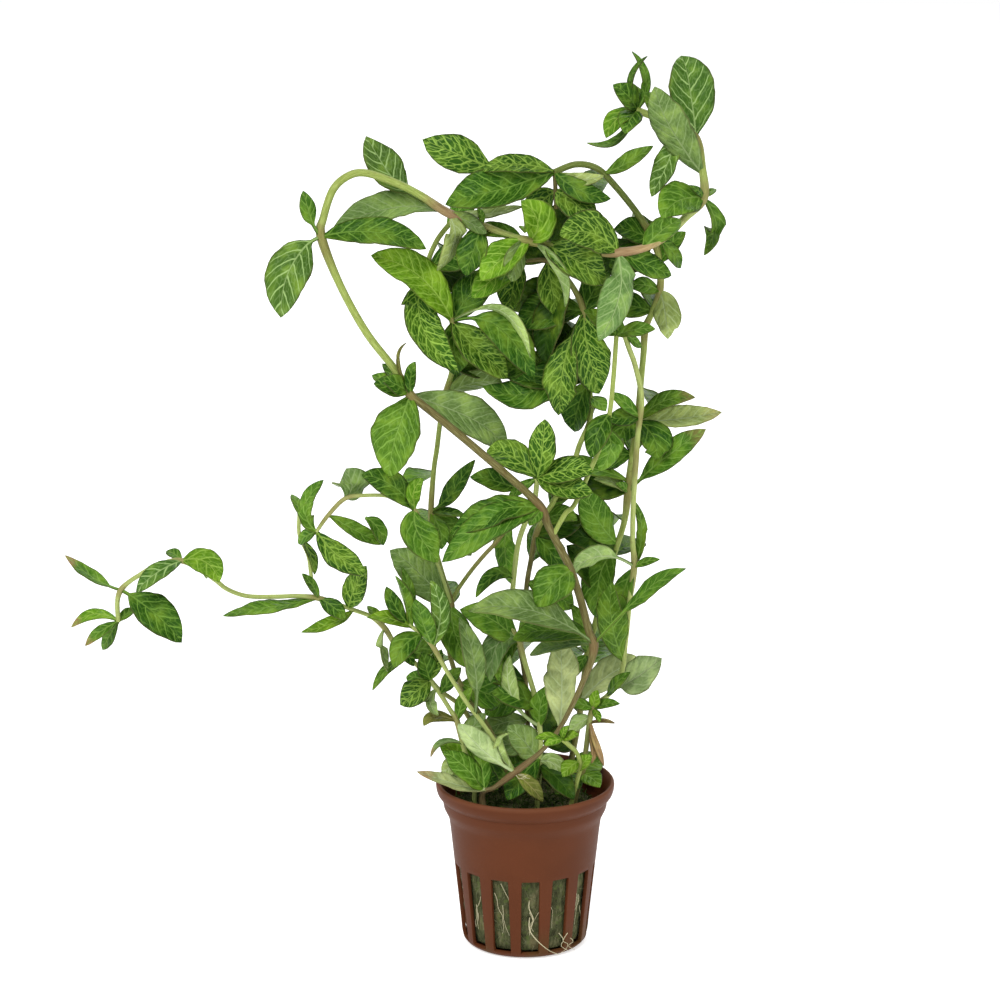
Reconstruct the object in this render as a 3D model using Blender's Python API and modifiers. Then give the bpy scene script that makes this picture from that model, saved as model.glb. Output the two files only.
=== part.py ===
"""Potted hygrophila: a slotted net pot, its stone wool plug and the leafy stems that stand in it.

Metres, +Z up. The origin is the centre of the pot's foot, on the surface the pot stands on, and
-Y is the front. Sizes below are in millimetres, and MM turns them into metres.

A point of a stem or leaf is written as (across, up, depth). Across and up are where the point shows
on the upright plane through the pot's axis, looked at from EYE, and depth is how far it really lies
behind that plane (minus is in front). So depth alone can change and the front view stays the same.
"""
import math
from typing import NamedTuple

import bmesh
import bpy
from mathutils import Vector

MM = 0.001

# Where the plant is looked at from, in millimetres
EYE = (-7.4, -1000.0, 395.0)

# Net pot, in millimetres
POT_HEIGHT = 49.5
RIM_RADIUS = 26.3
LIP_HEIGHT = 5.0
LIP_EDGE = 0.7
LIP_WIDTH = 1.9
LIP_TAPER = 0.3
COLLAR_RADIUS = 24.3
COLLAR_LOW = 42.0
COLLAR_TAPER = 0.2
STEP_LOW = 38.0
STEP_THICKENING = 0.4
WALL_TOP_RADIUS = 22.3
WALL_LOW_RADIUS = 18.9
CORNER_HEIGHT = 6.0
CORNER_RADIUS = 18.35
CORNER_MIDDLE = 1.7
FOOT_RADIUS = 16.4
WALL = 1.1
POT_STEPS = 42
SLOT_COUNT = 14
SLOT_WIDTH = 5.0
SLOT_LOW = 1.6
SLOT_HIGH = 25.0
SLOT_INNER_RADIUS = 14.5
SLOT_OUTER_RADIUS = 28.3
FIRST_SLOT_DEG = -85.8

# Stone wool plug, in millimetres
PLUG_TOP = 43.0
PLUG_EDGE = 1.5
STEM_FOOT = 33.0
STEM_OUT = 43.8
PLUG_STEPS = 28

# Gaps between pieces that touch, in millimetres
GAP = 0.3
HOLE_GAP = 0.36

# Blades, in millimetres and as shares of a blade's length or half width
BLADE_THICKNESS = 0.65
LONG_BLADE = 20.0
SHORT_BLADE = 13.0
LONG_STATIONS = ((0.0, 0.0), (0.24, 0.68), (0.5, 1.0), (0.78, 0.72), (1.0, 0.0))
MIDDLE_STATIONS = ((0.0, 0.0), (0.33, 0.92), (0.7, 0.84), (1.0, 0.0))
SHORT_STATIONS = ((0.0, 0.0), (0.47, 1.0), (1.0, 0.0))
STALK_HALF_WIDTH = 0.55
BLADE_LIFT = 0.06
BLADE_FOLD = 0.16
BLADE_WAVE = 0.05
NARROWEST_BLADE = 1.5
RIB_STEP = 0.05

# Points nearer than this are one, in metres, and sides flatter than this count as level
SAME_POINT = 1e-6
SAME_RING_POINT = 1e-5
LEVEL = 1e-4

COLOURS = {
    "terracotta plastic": ((0.22, 0.068, 0.036), 0.42),
    "stone wool": ((0.13, 0.12, 0.05), 0.95),
    "leaf green": ((0.07, 0.2, 0.02), 0.5),
    "pale leaf green": ((0.2, 0.34, 0.08), 0.5),
}


class Leaf(NamedTuple):
    """One blade with its stalk.

    start, via and tip are (across, up, depth); via, where there is one, is what the rib bends round.
    width is as seen from the front. turn is the angle from the line of sight to the way that the
    upper face looks, tilted to the sky: past 90 degrees the blade shows its underside.
    """

    start: tuple
    tip: tuple
    width: float
    turn: float
    via: tuple | None = None
    stalk: float = 0.0


class Shoot(NamedTuple):
    """A length of stem: its thickness and its route, each point (across, up, depth[, swelling])."""

    thickness: float
    route: list


class Plant(NamedTuple):
    """One leafy stem with its side shoots. foot is where it stands in the plug, as x and y."""

    name: str
    colour: str
    foot: tuple
    shoots: list
    leaves: list


TALL_STEM = Plant(
    "tall_arching_stem",
    "leaf green",
    (-12.3, -13.2),
    [
        Shoot(2.7, [
            (-12.5, 45.2, -14.5), (-9, 47, -15.5), (-3, 51.7, -17, 1.25), (5, 58.5, -18),
            (10.5, 66, -19), (14.5, 74, -20), (17, 80, -20), (19.3, 86, -20), (20, 91, -20, 1.3),
            (18.5, 95, -20), (17, 101, -20), (15, 108, -20), (13, 114, -19.5), (9, 122, -18),
            (6.5, 127, -17.5), (4.5, 132, -17, 1.25), (0, 137, -16), (-10, 146, -14),
            (-20, 154.7, -12), (-30, 163, -11), (-33, 165.5, -10, 1.25), (-37.4, 173, -10),
            (-45.6, 184, -9), (-53, 198, -6), (-58, 211.5, -3, 1.25), (-57.3, 217, -2),
            (-54.5, 225, 0), (-50, 229, 1), (-45, 229.7, 2), (-37, 227, 2), (-30, 223.5, 1),
            (-22, 218.3, -1, 1.2), (-12.5, 214.8, -4), (-4, 211.5, -7), (1, 210.3, -8, 1.2),
            (10, 208.5, -9), (18, 207.3, -10), (26, 207, -11, 1.25), (34, 208.5, -10),
            (40, 212, -8), (45, 217, -5), (50, 222.7, -2, 1.25), (49.6, 231, 1),
            (47.3, 240, 4, 1.2), (40, 244, 6), (31, 247.5, 8),
        ]),
        # The pale side shoot of the lowest node
        Shoot(1.6, [
            (-3, 51.7, -17), (-9, 61.5, -15.5), (-13, 67.5, -14.5), (-17, 73, -14),
            (-20, 78, -13.5), (-23, 83, -13), (-27, 90.5, -13, 1.25), (-30, 94, -13),
            (-34, 97, -13),
        ]),
        # The thin shoot behind the second node, which climbs to the dense crown
        Shoot(1.8, [
            (8, 124, -18), (11.5, 130.5, -16), (14, 133, -14), (18, 142, -11), (22, 152, -8),
            (24, 160, -7), (25, 170, -7), (25.8, 183, -7),
        ]),
    ],
    [
        # The top right tip
        Leaf((47.5, 240, 4), (43.3, 263, 8), 12.5, 20, via=(46.8, 254, 3)),
        Leaf((49.8, 229.5, 1), (33.5, 252.5, -6), 8.5, 150, via=(40.5, 244.3, -8)),
        Leaf((43, 242.4, 5), (35.3, 223, -2), 6, 30, via=(39, 232, -1)),
        Leaf((31, 247.5, 8), (30, 264.5, 12), 2.4, 45, via=(36.8, 255, 8)),
        Leaf((31, 247.5, 8), (33.6, 262.8, 3), 1.6, 45, via=(26.3, 256.5, 5)),
        Leaf((31, 247.5, 8), (25, 254.7, 3), 6, 30),
        Leaf((38.5, 244.6, 6.4), (33, 252.5, 3), 5, 30),
        Leaf((31, 247.5, 8), (29.5, 255, 14), 5, 35),
        Leaf((31, 247.5, 8), (22, 239.8, 3), 5.5, 30, via=(24.5, 247.5, 4)),
        Leaf((31, 247.5, 8), (17.5, 239.3, 12), 2.2, 50, via=(26, 234.5, 10)),
        Leaf((31, 247.5, 8), (27.8, 241, 0), 6, 25),
        Leaf((50, 222.7, -2), (38.3, 217.5, -16), 10, 25, via=(44, 223, -9)),
        Leaf((50, 222.7, -2), (50.3, 206.3, 3), 3.4, 58, via=(58.5, 214, 2)),
        Leaf((50, 222.7, -2), (46.3, 226.2, -7), 1.8, 30),
        Leaf((50, 222.7, -2), (53.7, 225.5, 3), 1.8, 30),
        # The node below it, at the right end of the crown
        Leaf((26, 207, -11), (21.5, 182, -18), 8.5, 155, via=(29, 195, -16)),
        Leaf((33, 208.2, -10), (43.5, 217, -16), 6.5, 150),
        Leaf((26, 207, -11), (41.5, 200.5, -6), 6.5, 30),
        Leaf((38, 210.8, -9), (44, 202.5, -4), 4, 35),
        Leaf((26, 207, -11), (9.5, 212.3, -18), 11, 22, via=(19, 215.5, -16)),
        # The front of the crown
        Leaf((1, 210.3, -8), (-1, 222, -13), 9.5, 20, via=(6, 215, -12)),
        Leaf((-1, 210.8, -8), (-5, 201.5, -14), 6, 150),
        Leaf((2, 210.1, -8), (13, 192, -15), 3, 115, via=(9.5, 204, -14)),
        Leaf((1, 210.3, -8), (-13, 199, -13), 9, 25),
        Leaf((5, 209.5, -8.5), (24, 198.5, -12), 10, 25, via=(13, 205, -15)),
        Leaf((-22, 218.3, -1), (-1, 220.5, 0), 3, 55, via=(-12, 217, 3)),
        Leaf((-1, 210.8, -8), (-17, 213, -4), 4.4, 30, via=(-7, 215, -3)),
        Leaf((-22, 218.3, -1), (-25.5, 202, -8), 4, 130, via=(-18.5, 210, -5)),
        Leaf((-22, 218.3, -1), (-11.5, 213, -10), 3.2, 145),
        Leaf((-12.5, 214.8, -4), (-13.6, 220, -7), 1.8, 30),
        Leaf((-12.5, 214.8, -4), (-17.5, 200.5, -9), 8, 28),
        # The left arch
        Leaf((-58, 211.5, -3), (-62.5, 224.5, -6), 4.4, 25, via=(-61.5, 215.5, -5), stalk=0.35),
        Leaf((-58, 211.5, -3), (-70.7, 187.8, -10), 11.8, 22, via=(-68, 209, -10), stalk=0.16),
        Leaf((-58, 211.5, -3), (-28, 208.3, -9), 7.6, 30, via=(-43, 217, -10)),
        Leaf((-24, 218.9, 0), (-56, 214, 5), 7.6, 42, via=(-39, 221.6, 10)),
        Leaf((-26, 220.8, 0), (-44.3, 240.8, 13), 8.8, 22, via=(-39.5, 223.5, 8), stalk=0.3),
        # The node on the long slanting run
        Leaf((-33, 165.5, -10), (-40.3, 141, -17), 12.5, 22, via=(-36, 156, -16)),
        Leaf((-33, 165.5, -10), (-3.6, 150.5, 4), 10.5, 28, via=(-15.5, 160.5, 0)),
        Leaf((-33, 165.5, -10), (-31.6, 175.4, -14), 3.4, 30, via=(-34, 171, -14)),
        Leaf((-33.5, 166.5, -10), (-41, 175, -4), 3, 30),
        Leaf((-33, 165.5, -10), (-44, 171.5, -6), 4.5, 35),
        Leaf((-33.5, 166.5, -10), (-40.5, 170.5, -17), 5, 30),
        # The node in the middle
        Leaf((4.5, 132, -17), (-22.5, 124.5, -20), 7.5, 38, via=(-9, 135, -22)),
        Leaf((4.5, 132, -17), (-24.5, 116, -24), 9.5, 30, via=(-8, 130, -26)),
        Leaf((4.5, 132, -17), (1, 127, -22), 3.6, 15),
        # The brown node at the right
        Leaf((20, 91, -20), (-17, 103.5, -25), 8.5, 40, via=(6, 103, -30), stalk=0.16),
        Leaf((19.3, 92.5, -20), (-4, 93, -14), 7.5, 42, via=(8, 98, -15)),
        Leaf((20, 91, -20), (1, 88.2, -12), 4.2, 55, stalk=0.15),
        Leaf((20, 91, -20), (44.5, 115.5, -28), 3.8, 58, via=(28.5, 100.5, -24), stalk=0.42),
        Leaf((10.2, 65.6, -19), (10.5, 93.5, -12), 9, 158, via=(11.3, 80, -12)),
        # Broad leaf hanging in front of the stem
        Leaf((13.3, 113.5, -19.5), (2.5, 102.5, -26), 10, 28, via=(9, 112, -27)),
        # Leaves of the lowest nodes, among them the pale ones over the rim
        Leaf((-3, 51.7, -17), (-19.5, 67.3, -22), 6.4, 150, via=(-12, 57.3, -22), stalk=0.2),
        Leaf((-3, 51.7, -17), (-5.2, 64.8, -23), 2.4, 118, via=(-11, 60, -20)),
        Leaf((-3, 51.7, -17), (5.5, 42.6, -18.5), 4.2, 30),
        Leaf((-12, 46, -14.8), (-24, 57.5, -17), 7, 30),
        Leaf((-11, 46.3, -15), (-31.5, 52.6, -15), 5, 35, via=(-21, 46.6, -17)),
        Leaf((-12, 46, -14.8), (-13.5, 57, -12), 4, 30),
        # The pale side shoot
        Leaf((-14.6, 69.8, -14.3), (-18, 99, -17), 6.2, 25, via=(-13.6, 80, -20), stalk=0.26),
        Leaf((-27, 90.5, -13), (-27.5, 110.5, -17), 5.5, 20, via=(-23.5, 100, -18)),
        Leaf((-27, 90.5, -13), (-31, 105.5, -22), 6, 150, via=(-31, 97, -19)),
        Leaf((-34, 97, -13), (-40.2, 108.5, -15), 4.2, 22, via=(-39.3, 102, -15)),
        Leaf((-33, 96.2, -13), (-37.4, 112, -19), 2.8, 125),
        Leaf((-34, 97, -13), (-35.5, 114.5, -11), 3.2, 30),
        Leaf((-33, 96.2, -13), (-45.5, 100, -17), 3.4, 45),
        Leaf((-30, 94, -13), (-38.5, 84, -20), 6.5, 25, via=(-36, 92, -18)),
        # The thin shoot
        Leaf((24, 160, -7), (18.7, 147, -14), 6.8, 22, via=(20, 156, -12)),
        Leaf((23, 156, -7.5), (21, 143.5, -3), 7.4, 148, via=(26, 150, -4)),
        Leaf((25.8, 183, -7), (36.5, 185.5, -10), 3.8, 40),
        Leaf((25.8, 183, -7), (17, 190.5, -12), 5, 30),
    ],
)

FORKED_STEM = Plant(
    "left_forked_stem",
    "leaf green",
    (-3.5, 1.0),
    [
        Shoot(2.0, [
            (-4.5, 50, -1), (-10, 64, -3), (-16, 74, -4), (-19, 79, -4), (-21, 84, -4),
            (-22.3, 90, -3), (-22, 97, -1), (-21.5, 103, 0, 1.3), (-24, 112, 2),
            (-26.5, 122, 4), (-27.3, 131, 6, 1.2), (-26.5, 143, 7), (-25.5, 150, 7),
            (-24.5, 158, 7), (-23, 166, 6, 1.2), (-21, 174, 5), (-21, 187, 4, 1.2),
            (-26, 195, 6), (-28, 202.5, 8), (-25.5, 210, 10), (-21, 216, 11),
        ]),
        Shoot(1.7, [
            (-21.5, 103, 0), (-20, 107, 1), (-16, 113, 1), (-12, 118, 0), (-8, 122.5, 0),
            (-4, 129, -1), (-3, 138, -2),
        ]),
        Shoot(1.4, [
            (-21.5, 103, 0), (-24, 111, -3), (-26.5, 118, -6), (-30, 127, -9),
            (-32, 131.5, -10, 1.25), (-36, 134, -10), (-40, 135.7, -10), (-46, 135.9, -10),
            (-52, 135, -10, 1.2), (-57, 130, -10, 1.2), (-60.5, 125, -10),
        ]),
    ],
    [
        # The lower fork
        Leaf((-21.5, 103, 0), (-38.4, 119.8, -6), 10.4, 28, via=(-30.5, 111.5, -5)),
        Leaf((-21.5, 103, 0), (-15.5, 84, -9), 9, 24, via=(-21.5, 94, -9)),
        Leaf((-27.3, 131, 6), (-24, 120, 1), 5, 30),
        Leaf((-27.3, 131, 6), (-15.3, 146.5, 1), 4.8, 25, via=(-22.5, 134, 3), stalk=0.2),
        Leaf((-27.3, 131, 6), (-17.5, 130, 3), 2.8, 35),
        # The branch to the middle
        Leaf((-3, 138, -2), (-15.8, 142, -6), 5.6, 28, via=(-8, 139.8, -6)),
        Leaf((-4.5, 128, -1), (-3.3, 110, 4), 6, 148, via=(-7, 119, 5)),
        # The pale branch to the left
        Leaf((-32, 131.5, -10), (-25, 116, -18), 9.8, 25, via=(-32.3, 125, -17)),
        Leaf((-32, 131.5, -10), (-29.6, 141, -14), 4.4, 25, via=(-34, 137.5, -14)),
        Leaf((-32, 131.5, -10), (-47.3, 142, -14), 7, 28, via=(-38, 141, -15)),
        Leaf((-52, 135, -10), (-51.5, 143.8, -6), 9, 30, via=(-48.3, 138.5, -7)),
        Leaf((-57, 130, -10), (-40, 120.8, -5), 5, 30, via=(-48, 126.3, -6)),
        Leaf((-60.5, 125, -10), (-61.5, 134, -13), 4, 25, via=(-66, 129, -13)),
        Leaf((-60.5, 125, -10), (-46.3, 112.3, -16), 7, 25, via=(-54.5, 116.8, -16)),
        Leaf((-60.5, 125, -10), (-66, 121.8, -5), 3.6, 30),
        # The upper run and the left of the crown
        Leaf((-23, 166, 6), (-6.5, 169, 3), 5.4, 138, via=(-14, 171.5, 5)),
        Leaf((-21, 187, 4), (-44, 206.2, -4), 10, 22, via=(-29, 202.5, -6)),
        Leaf((-21, 187, 4), (2.5, 170.5, -8), 9.5, 24, via=(-7, 192, -8), stalk=0.22),
        Leaf((-27.5, 200, 7), (-19, 173, -7), 9.5, 24, via=(-36, 186, -4)),
        Leaf((-21, 187, 4), (-20, 171.5, 0), 9, 25),
        Leaf((-21, 187, 4), (-9, 203, 9), 9, 28),
        Leaf((-28, 202.5, 8), (-10, 208, 4), 8, 35),
        Leaf((-22.4, 214.2, 10.8), (-12, 226, 9), 6, 35),
        Leaf((-21, 187, 4), (-4.5, 171, -3), 10, 26, via=(-15, 178, -3)),
        Leaf((-21, 187, 4), (-25, 191, 30), 9, 12, via=(-18, 194, 18)),
        Leaf((-27.3, 131, 6), (-30, 121, 30), 8, 14, via=(-29, 132, 20)),
    ],
)

TRAILING_STEM = Plant(
    "left_trailing_stem",
    "pale leaf green",
    (-9.5, 8.0),
    [
        Shoot(1.8, [
            (-12, 58, 9), (-18, 71, 9), (-25, 77, 9), (-30, 83, 8.5), (-34, 87, 8),
            (-38, 91, 7), (-41, 96, 6, 1.25), (-45, 99.5, 5), (-50, 101.5, 3.5), (-54, 103, 2),
            (-60, 105, 0, 1.3), (-66, 105.7, -1), (-72, 105.5, -2), (-79, 105.5, -3),
            (-83, 106.2, -4), (-87, 108, -4), (-90, 110.5, -5), (-95, 114, -6),
            (-99.5, 116.3, -6, 1.3), (-104, 116, -6), (-108, 114.5, -6), (-112, 112, -6),
            (-115, 110, -6), (-117.5, 107.5, -6, 1.25), (-118.6, 104, -6), (-118.5, 98, -6),
        ]),
        Shoot(1.5, [
            (-60, 105, 0), (-61.7, 108, 1), (-62.3, 113, 2), (-63, 118, 3), (-65.4, 124, 3),
            (-65.4, 130, 3),
        ]),
    ],
    [
        Leaf((-51.5, 102.1, 2.8), (-47.5, 113.8, -4), 5.8, 22, via=(-50.8, 107, -4)),
        Leaf((-60, 105, 0), (-52.5, 98.6, -5), 4.6, 28),
        Leaf((-50, 101.5, 3.5), (-65.3, 95, -2), 3, 50, via=(-55, 96, 0)),
        Leaf((-60, 105, 0), (-88, 100.2, -7), 3.2, 58, via=(-74, 101.8, -6)),
        Leaf((-60, 105, 0), (-64.7, 112.5, -5), 2.6, 35),
        Leaf((-65.4, 130, 3), (-58.7, 140.5, 0), 3.6, 35),
        Leaf((-65.4, 130, 3), (-67.3, 136.5, 8), 2.6, 35),
        Leaf((-64.8, 123, 3), (-61, 112.3, -3), 2.6, 55),
        Leaf((-99.5, 116.3, -6), (-88.6, 110, -15), 7, 22, via=(-92, 118, -13)),
        Leaf((-99.5, 116.3, -6), (-113.3, 106.8, -14), 4.8, 30, via=(-106.5, 112.8, -14)),
        Leaf((-99.5, 116.3, -6), (-104, 119.4, -1), 3, 30),
        Leaf((-117.5, 107.5, -6), (-99.5, 92, -13), 9.8, 22, via=(-111, 102.5, -13), stalk=0.14),
        Leaf((-117.5, 107.5, -6), (-133.3, 118, -1), 3.6, 48, via=(-124, 108.5, -4), stalk=0.22),
        Leaf((-118.5, 98, -6), (-132.6, 96.4, -3), 3.2, 42, via=(-125, 104, -4)),
        Leaf((-118.5, 98, -6), (-128.5, 91, -11), 2.8, 40),
        Leaf((-118.5, 98, -6), (-123.5, 89.3, -2), 3.2, 35),
        Leaf((-118.5, 98, -6), (-113.7, 102, -2), 2.8, 30),
        Leaf((-41, 96, 6), (-40, 82.8, 2), 2, 62, via=(-43.5, 89, 3)),
        Leaf((-34, 87, 8), (-45, 77.2, 3), 2.4, 48, via=(-40, 84.5, 4)),
        Leaf((-41, 96, 6), (-45.8, 103, 10), 3, 35),
        Leaf((-38, 91, 7), (-32.5, 84.5, 3), 3.6, 30),
    ],
)

LOW_LEFT_STEM = Plant(
    "low_left_stem",
    "leaf green",
    (-15.0, -3.0),
    [
        Shoot(1.7, [
            (-15, 50, -4), (-18, 59, -6), (-20, 67.5, -7, 1.3), (-22, 71, -7), (-25, 76, -7),
            (-28, 80, -7),
        ]),
    ],
    [
        Leaf((-28, 80, -7), (-30, 88.5, -9), 5.5, 25),
        Leaf((-28, 80, -7), (-36.8, 72.6, -11), 7, 25, via=(-31.5, 76.5, -11)),
        Leaf((-26, 77.4, -7), (-25.3, 69.5, -11), 3, 35, via=(-30, 73, -10)),
        Leaf((-28, 80, -7), (-35, 81.5, -3), 4, 30),
        Leaf((-25, 76, -7), (-19, 84, -8), 4, 30),
        Leaf((-28, 80, -7), (-24.5, 89.5, -7), 4, 25),
        Leaf((-20, 67.5, -7), (-30.2, 66.3, -10), 3, 42, via=(-27.5, 71, -9)),
        Leaf((-18.3, 60.5, -6.3), (-28.2, 56.6, -8), 1.6, 55, via=(-25, 63.3, -8)),
        Leaf((-18.3, 60.5, -6.3), (-12, 70, -7), 5, 28),
        Leaf((-16.5, 55, -5), (-24.5, 50.5, -7), 5, 30, via=(-22, 55, -8)),
        Leaf((-20, 67.5, -7), (-15.5, 78, -7), 3.6, 30),
    ],
)

MIDDLE_STEM = Plant(
    "middle_pale_stem",
    "pale leaf green",
    (3.5, -7.5),
    [
        Shoot(2.0, [
            (4, 48, -7.5), (4.5, 62, -8), (3, 74, -8), (1.5, 80, -7), (0, 85, -7),
            (-2, 92, -7, 1.25), (-5, 98, -6), (-4, 105, -6), (-3, 115, -6), (-2, 122, -7),
            (0, 128, -8), (2.5, 134, -10), (3.3, 141, -11),
        ]),
    ],
    [
        Leaf((3.3, 141, -11), (5.2, 158.6, -13), 7.4, 18, via=(5, 150, -16)),
        Leaf((3.3, 141, -11), (-11.5, 150, -5), 8.4, 32, via=(-5, 149, -8)),
        Leaf((3.3, 141, -11), (19.5, 137.5, -20), 6.5, 25, via=(11, 139, -20)),
        Leaf((3.3, 141, -11), (19.5, 143.5, -17), 7.4, 34, via=(11, 145, -16)),
        Leaf((3.3, 141, -11), (-5, 135.5, -8), 3, 35),
        Leaf((-2, 92, -7), (-7, 79.5, -11), 5, 30, via=(-8.5, 88, -11)),
        Leaf((-2, 92, -7), (-10, 79.5, -13), 6.8, 28, via=(-10.5, 96.5, -12)),
        Leaf((3.5, 72, -8), (-9.5, 76.5, -12), 7.5, 30),
        Leaf((4.3, 66, -8), (-4.8, 88, -12), 4.2, 152, via=(-5.5, 72, -13), stalk=0.3),
        Leaf((4.3, 66, -8), (6, 78, -12), 5.2, 28),
        Leaf((4.2, 56, -8), (-5, 66, -11), 8, 30),
        Leaf((4.2, 55, -8), (10.5, 48.3, -12), 5, 148, via=(9.5, 57, -11)),
        Leaf((4.2, 54, -8), (-1, 48, -13), 5, 30),
        Leaf((-3.5, 111, -6), (-14.5, 105.2, -11), 3.8, 28, via=(-9, 115.8, -9)),
    ],
)

DARK_STEM = Plant(
    "middle_dark_stem",
    "leaf green",
    (0.5, 8.0),
    [
        Shoot(2.0, [
            (1, 56, 8), (0.3, 76, 8), (-0.5, 84, 8), (-1.5, 92, 8, 1.25), (-0.5, 100, 8),
            (0.5, 110, 8), (1.5, 116, 7), (3, 124, 6, 1.2), (5, 129, 4), (8, 134, 3),
            (13.5, 145, 1), (15.5, 151, 1), (18.5, 159, 1), (18, 170, 1), (17, 180, 0),
            (16.5, 190, 0, 1.25), (12, 199, 1), (6, 204.5, 2), (-1, 204, 2),
        ]),
    ],
    [
        Leaf((16.5, 190, 0), (-12.3, 168.5, -1), 10, 28, via=(9, 157, -3)),
        Leaf((16.5, 190, 0), (10.3, 159.5, -9), 9.4, 22, via=(7.6, 176, -7), stalk=0.25),
        Leaf((16.5, 190, 0), (22, 165.5, -2), 10.5, 22, via=(16, 177, -6)),
        Leaf((18.2, 165, 1), (23, 161, -2), 4.2, 35),
        Leaf((16.5, 190, 0), (-3.5, 186.5, 1.5), 10, 28, via=(6, 191, -1)),
        Leaf((16.5, 190, 0), (23, 202, 1), 8, 30),
        Leaf((-1, 204, 2), (-4.5, 190, -2), 8, 28, via=(-5, 198, -1)),
        Leaf((6, 204.5, 2), (8.5, 189, -2), 8.5, 28),
        Leaf((-1, 204, 2), (-15.5, 194, -4), 8, 30),
        Leaf((4.5, 128, 4.4), (15, 128.5, 0), 5, 35, via=(10, 131, 0)),
        Leaf((3, 124, 6), (11, 113, 2), 7, 30),
        Leaf((-1.5, 92, 8), (6, 104, 3), 5, 32),
        Leaf((-1.5, 92, 8), (-11.5, 86.5, 4), 5.5, 32),
        Leaf((0.3, 76, 8), (-12, 70, 4), 8, 32),
        Leaf((1, 60, 8), (-11, 60, 4), 7.5, 34),
        Leaf((0.1, 80, 8), (-13, 82, 2), 7, 30),
        Leaf((0.6, 68, 8), (-13, 64.5, 1), 7, 32),
        # Behind the others
        Leaf((12, 199, 1), (5, 174.5, -3), 9, 26, via=(8, 190, -3)),
        Leaf((16.5, 190, 0), (8, 188, 28), 10, 12, via=(12, 197, 16)),
        Leaf((1, 204.3, 2), (-8, 206, 28), 9, 12, via=(-3, 210, 16)),
        Leaf((-1.5, 92, 8), (-6, 84, 34), 9, 12, via=(-4, 93, 22)),
        Leaf((1, 60, 8), (-5, 61, 32), 9, 14, via=(-2, 67, 20)),
    ],
)

RIGHT_PALE_STEM = Plant(
    "right_pale_stem",
    "pale leaf green",
    (14.5, -4.5),
    [
        Shoot(2.0, [
            (17, 52, -5), (18, 60, -6), (18.8, 67, -6), (20, 71.5, -6, 1.3), (24, 75.3, -5),
            (27, 79, -3.5), (28.5, 84, -2), (29, 90, -1), (29.7, 97, 0), (30.3, 104, 1),
            (31.5, 114.5, 2, 1.3), (31, 122, 2), (31, 130, 2), (31.3, 138, 2),
            (31.7, 146, 2, 1.15), (32.2, 154, 2), (32.7, 159, 2, 1.2), (33.2, 164, 1.5),
            (32.5, 169, 1), (31, 175, 0), (29.5, 179, -1), (28, 183.5, -2),
        ]),
    ],
    [
        # The small rosette over the rim
        Leaf((20, 71.5, -6), (27.2, 73.3, -11), 2.6, 35),
        Leaf((20, 71.5, -6), (21.8, 67.3, -11), 2, 35),
        Leaf((20, 71.5, -6), (12.6, 73, -9), 3.2, 35),
        Leaf((19.2, 69, -6), (12.6, 64.5, -8), 4.2, 138),
        Leaf((20, 71.5, -6), (21, 77, -9), 3, 30),
        Leaf((26, 77.6, -4), (39.3, 87, -10), 9.4, 32, via=(32, 78.5, -9), stalk=0.16),
        Leaf((24, 75.3, -5), (30, 82.5, -12), 3, 35),
        # Dried strips that hang at the rim
        Leaf((18.7, 66, -6), (19.8, 54.5, -9), 2.2, 50),
        Leaf((18.9, 68, -6), (23.8, 53.7, -6), 2, 50, via=(20, 61, -8)),
        Leaf((19, 67, -6), (26.2, 67.2, -9), 1.2, 35),
        # Along the upright run
        Leaf((28.6, 86, -1.5), (25, 109.7, -6), 8.4, 25, via=(22, 96, -7)),
        Leaf((31.5, 114.5, 2), (14.5, 114.5, -14), 4.6, 130, via=(22, 122.5, -9), stalk=0.24),
        Leaf((31.5, 114.5, 2), (38.6, 117, -2), 2.2, 35),
        Leaf((31.5, 114.5, 2), (32.2, 134, 6), 2.8, 35, via=(34.8, 123, 5)),
        Leaf((32.7, 159, 2), (24.5, 166.5, -1), 3.4, 40),
        Leaf((32.7, 159, 2), (23.5, 158, -1), 5, 30),
        Leaf((28, 183.5, -2), (33, 179.5, 1), 2.4, 40),
        Leaf((28.4, 182.4, -1.8), (21, 189, 1), 5, 30),
    ],
)

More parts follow.
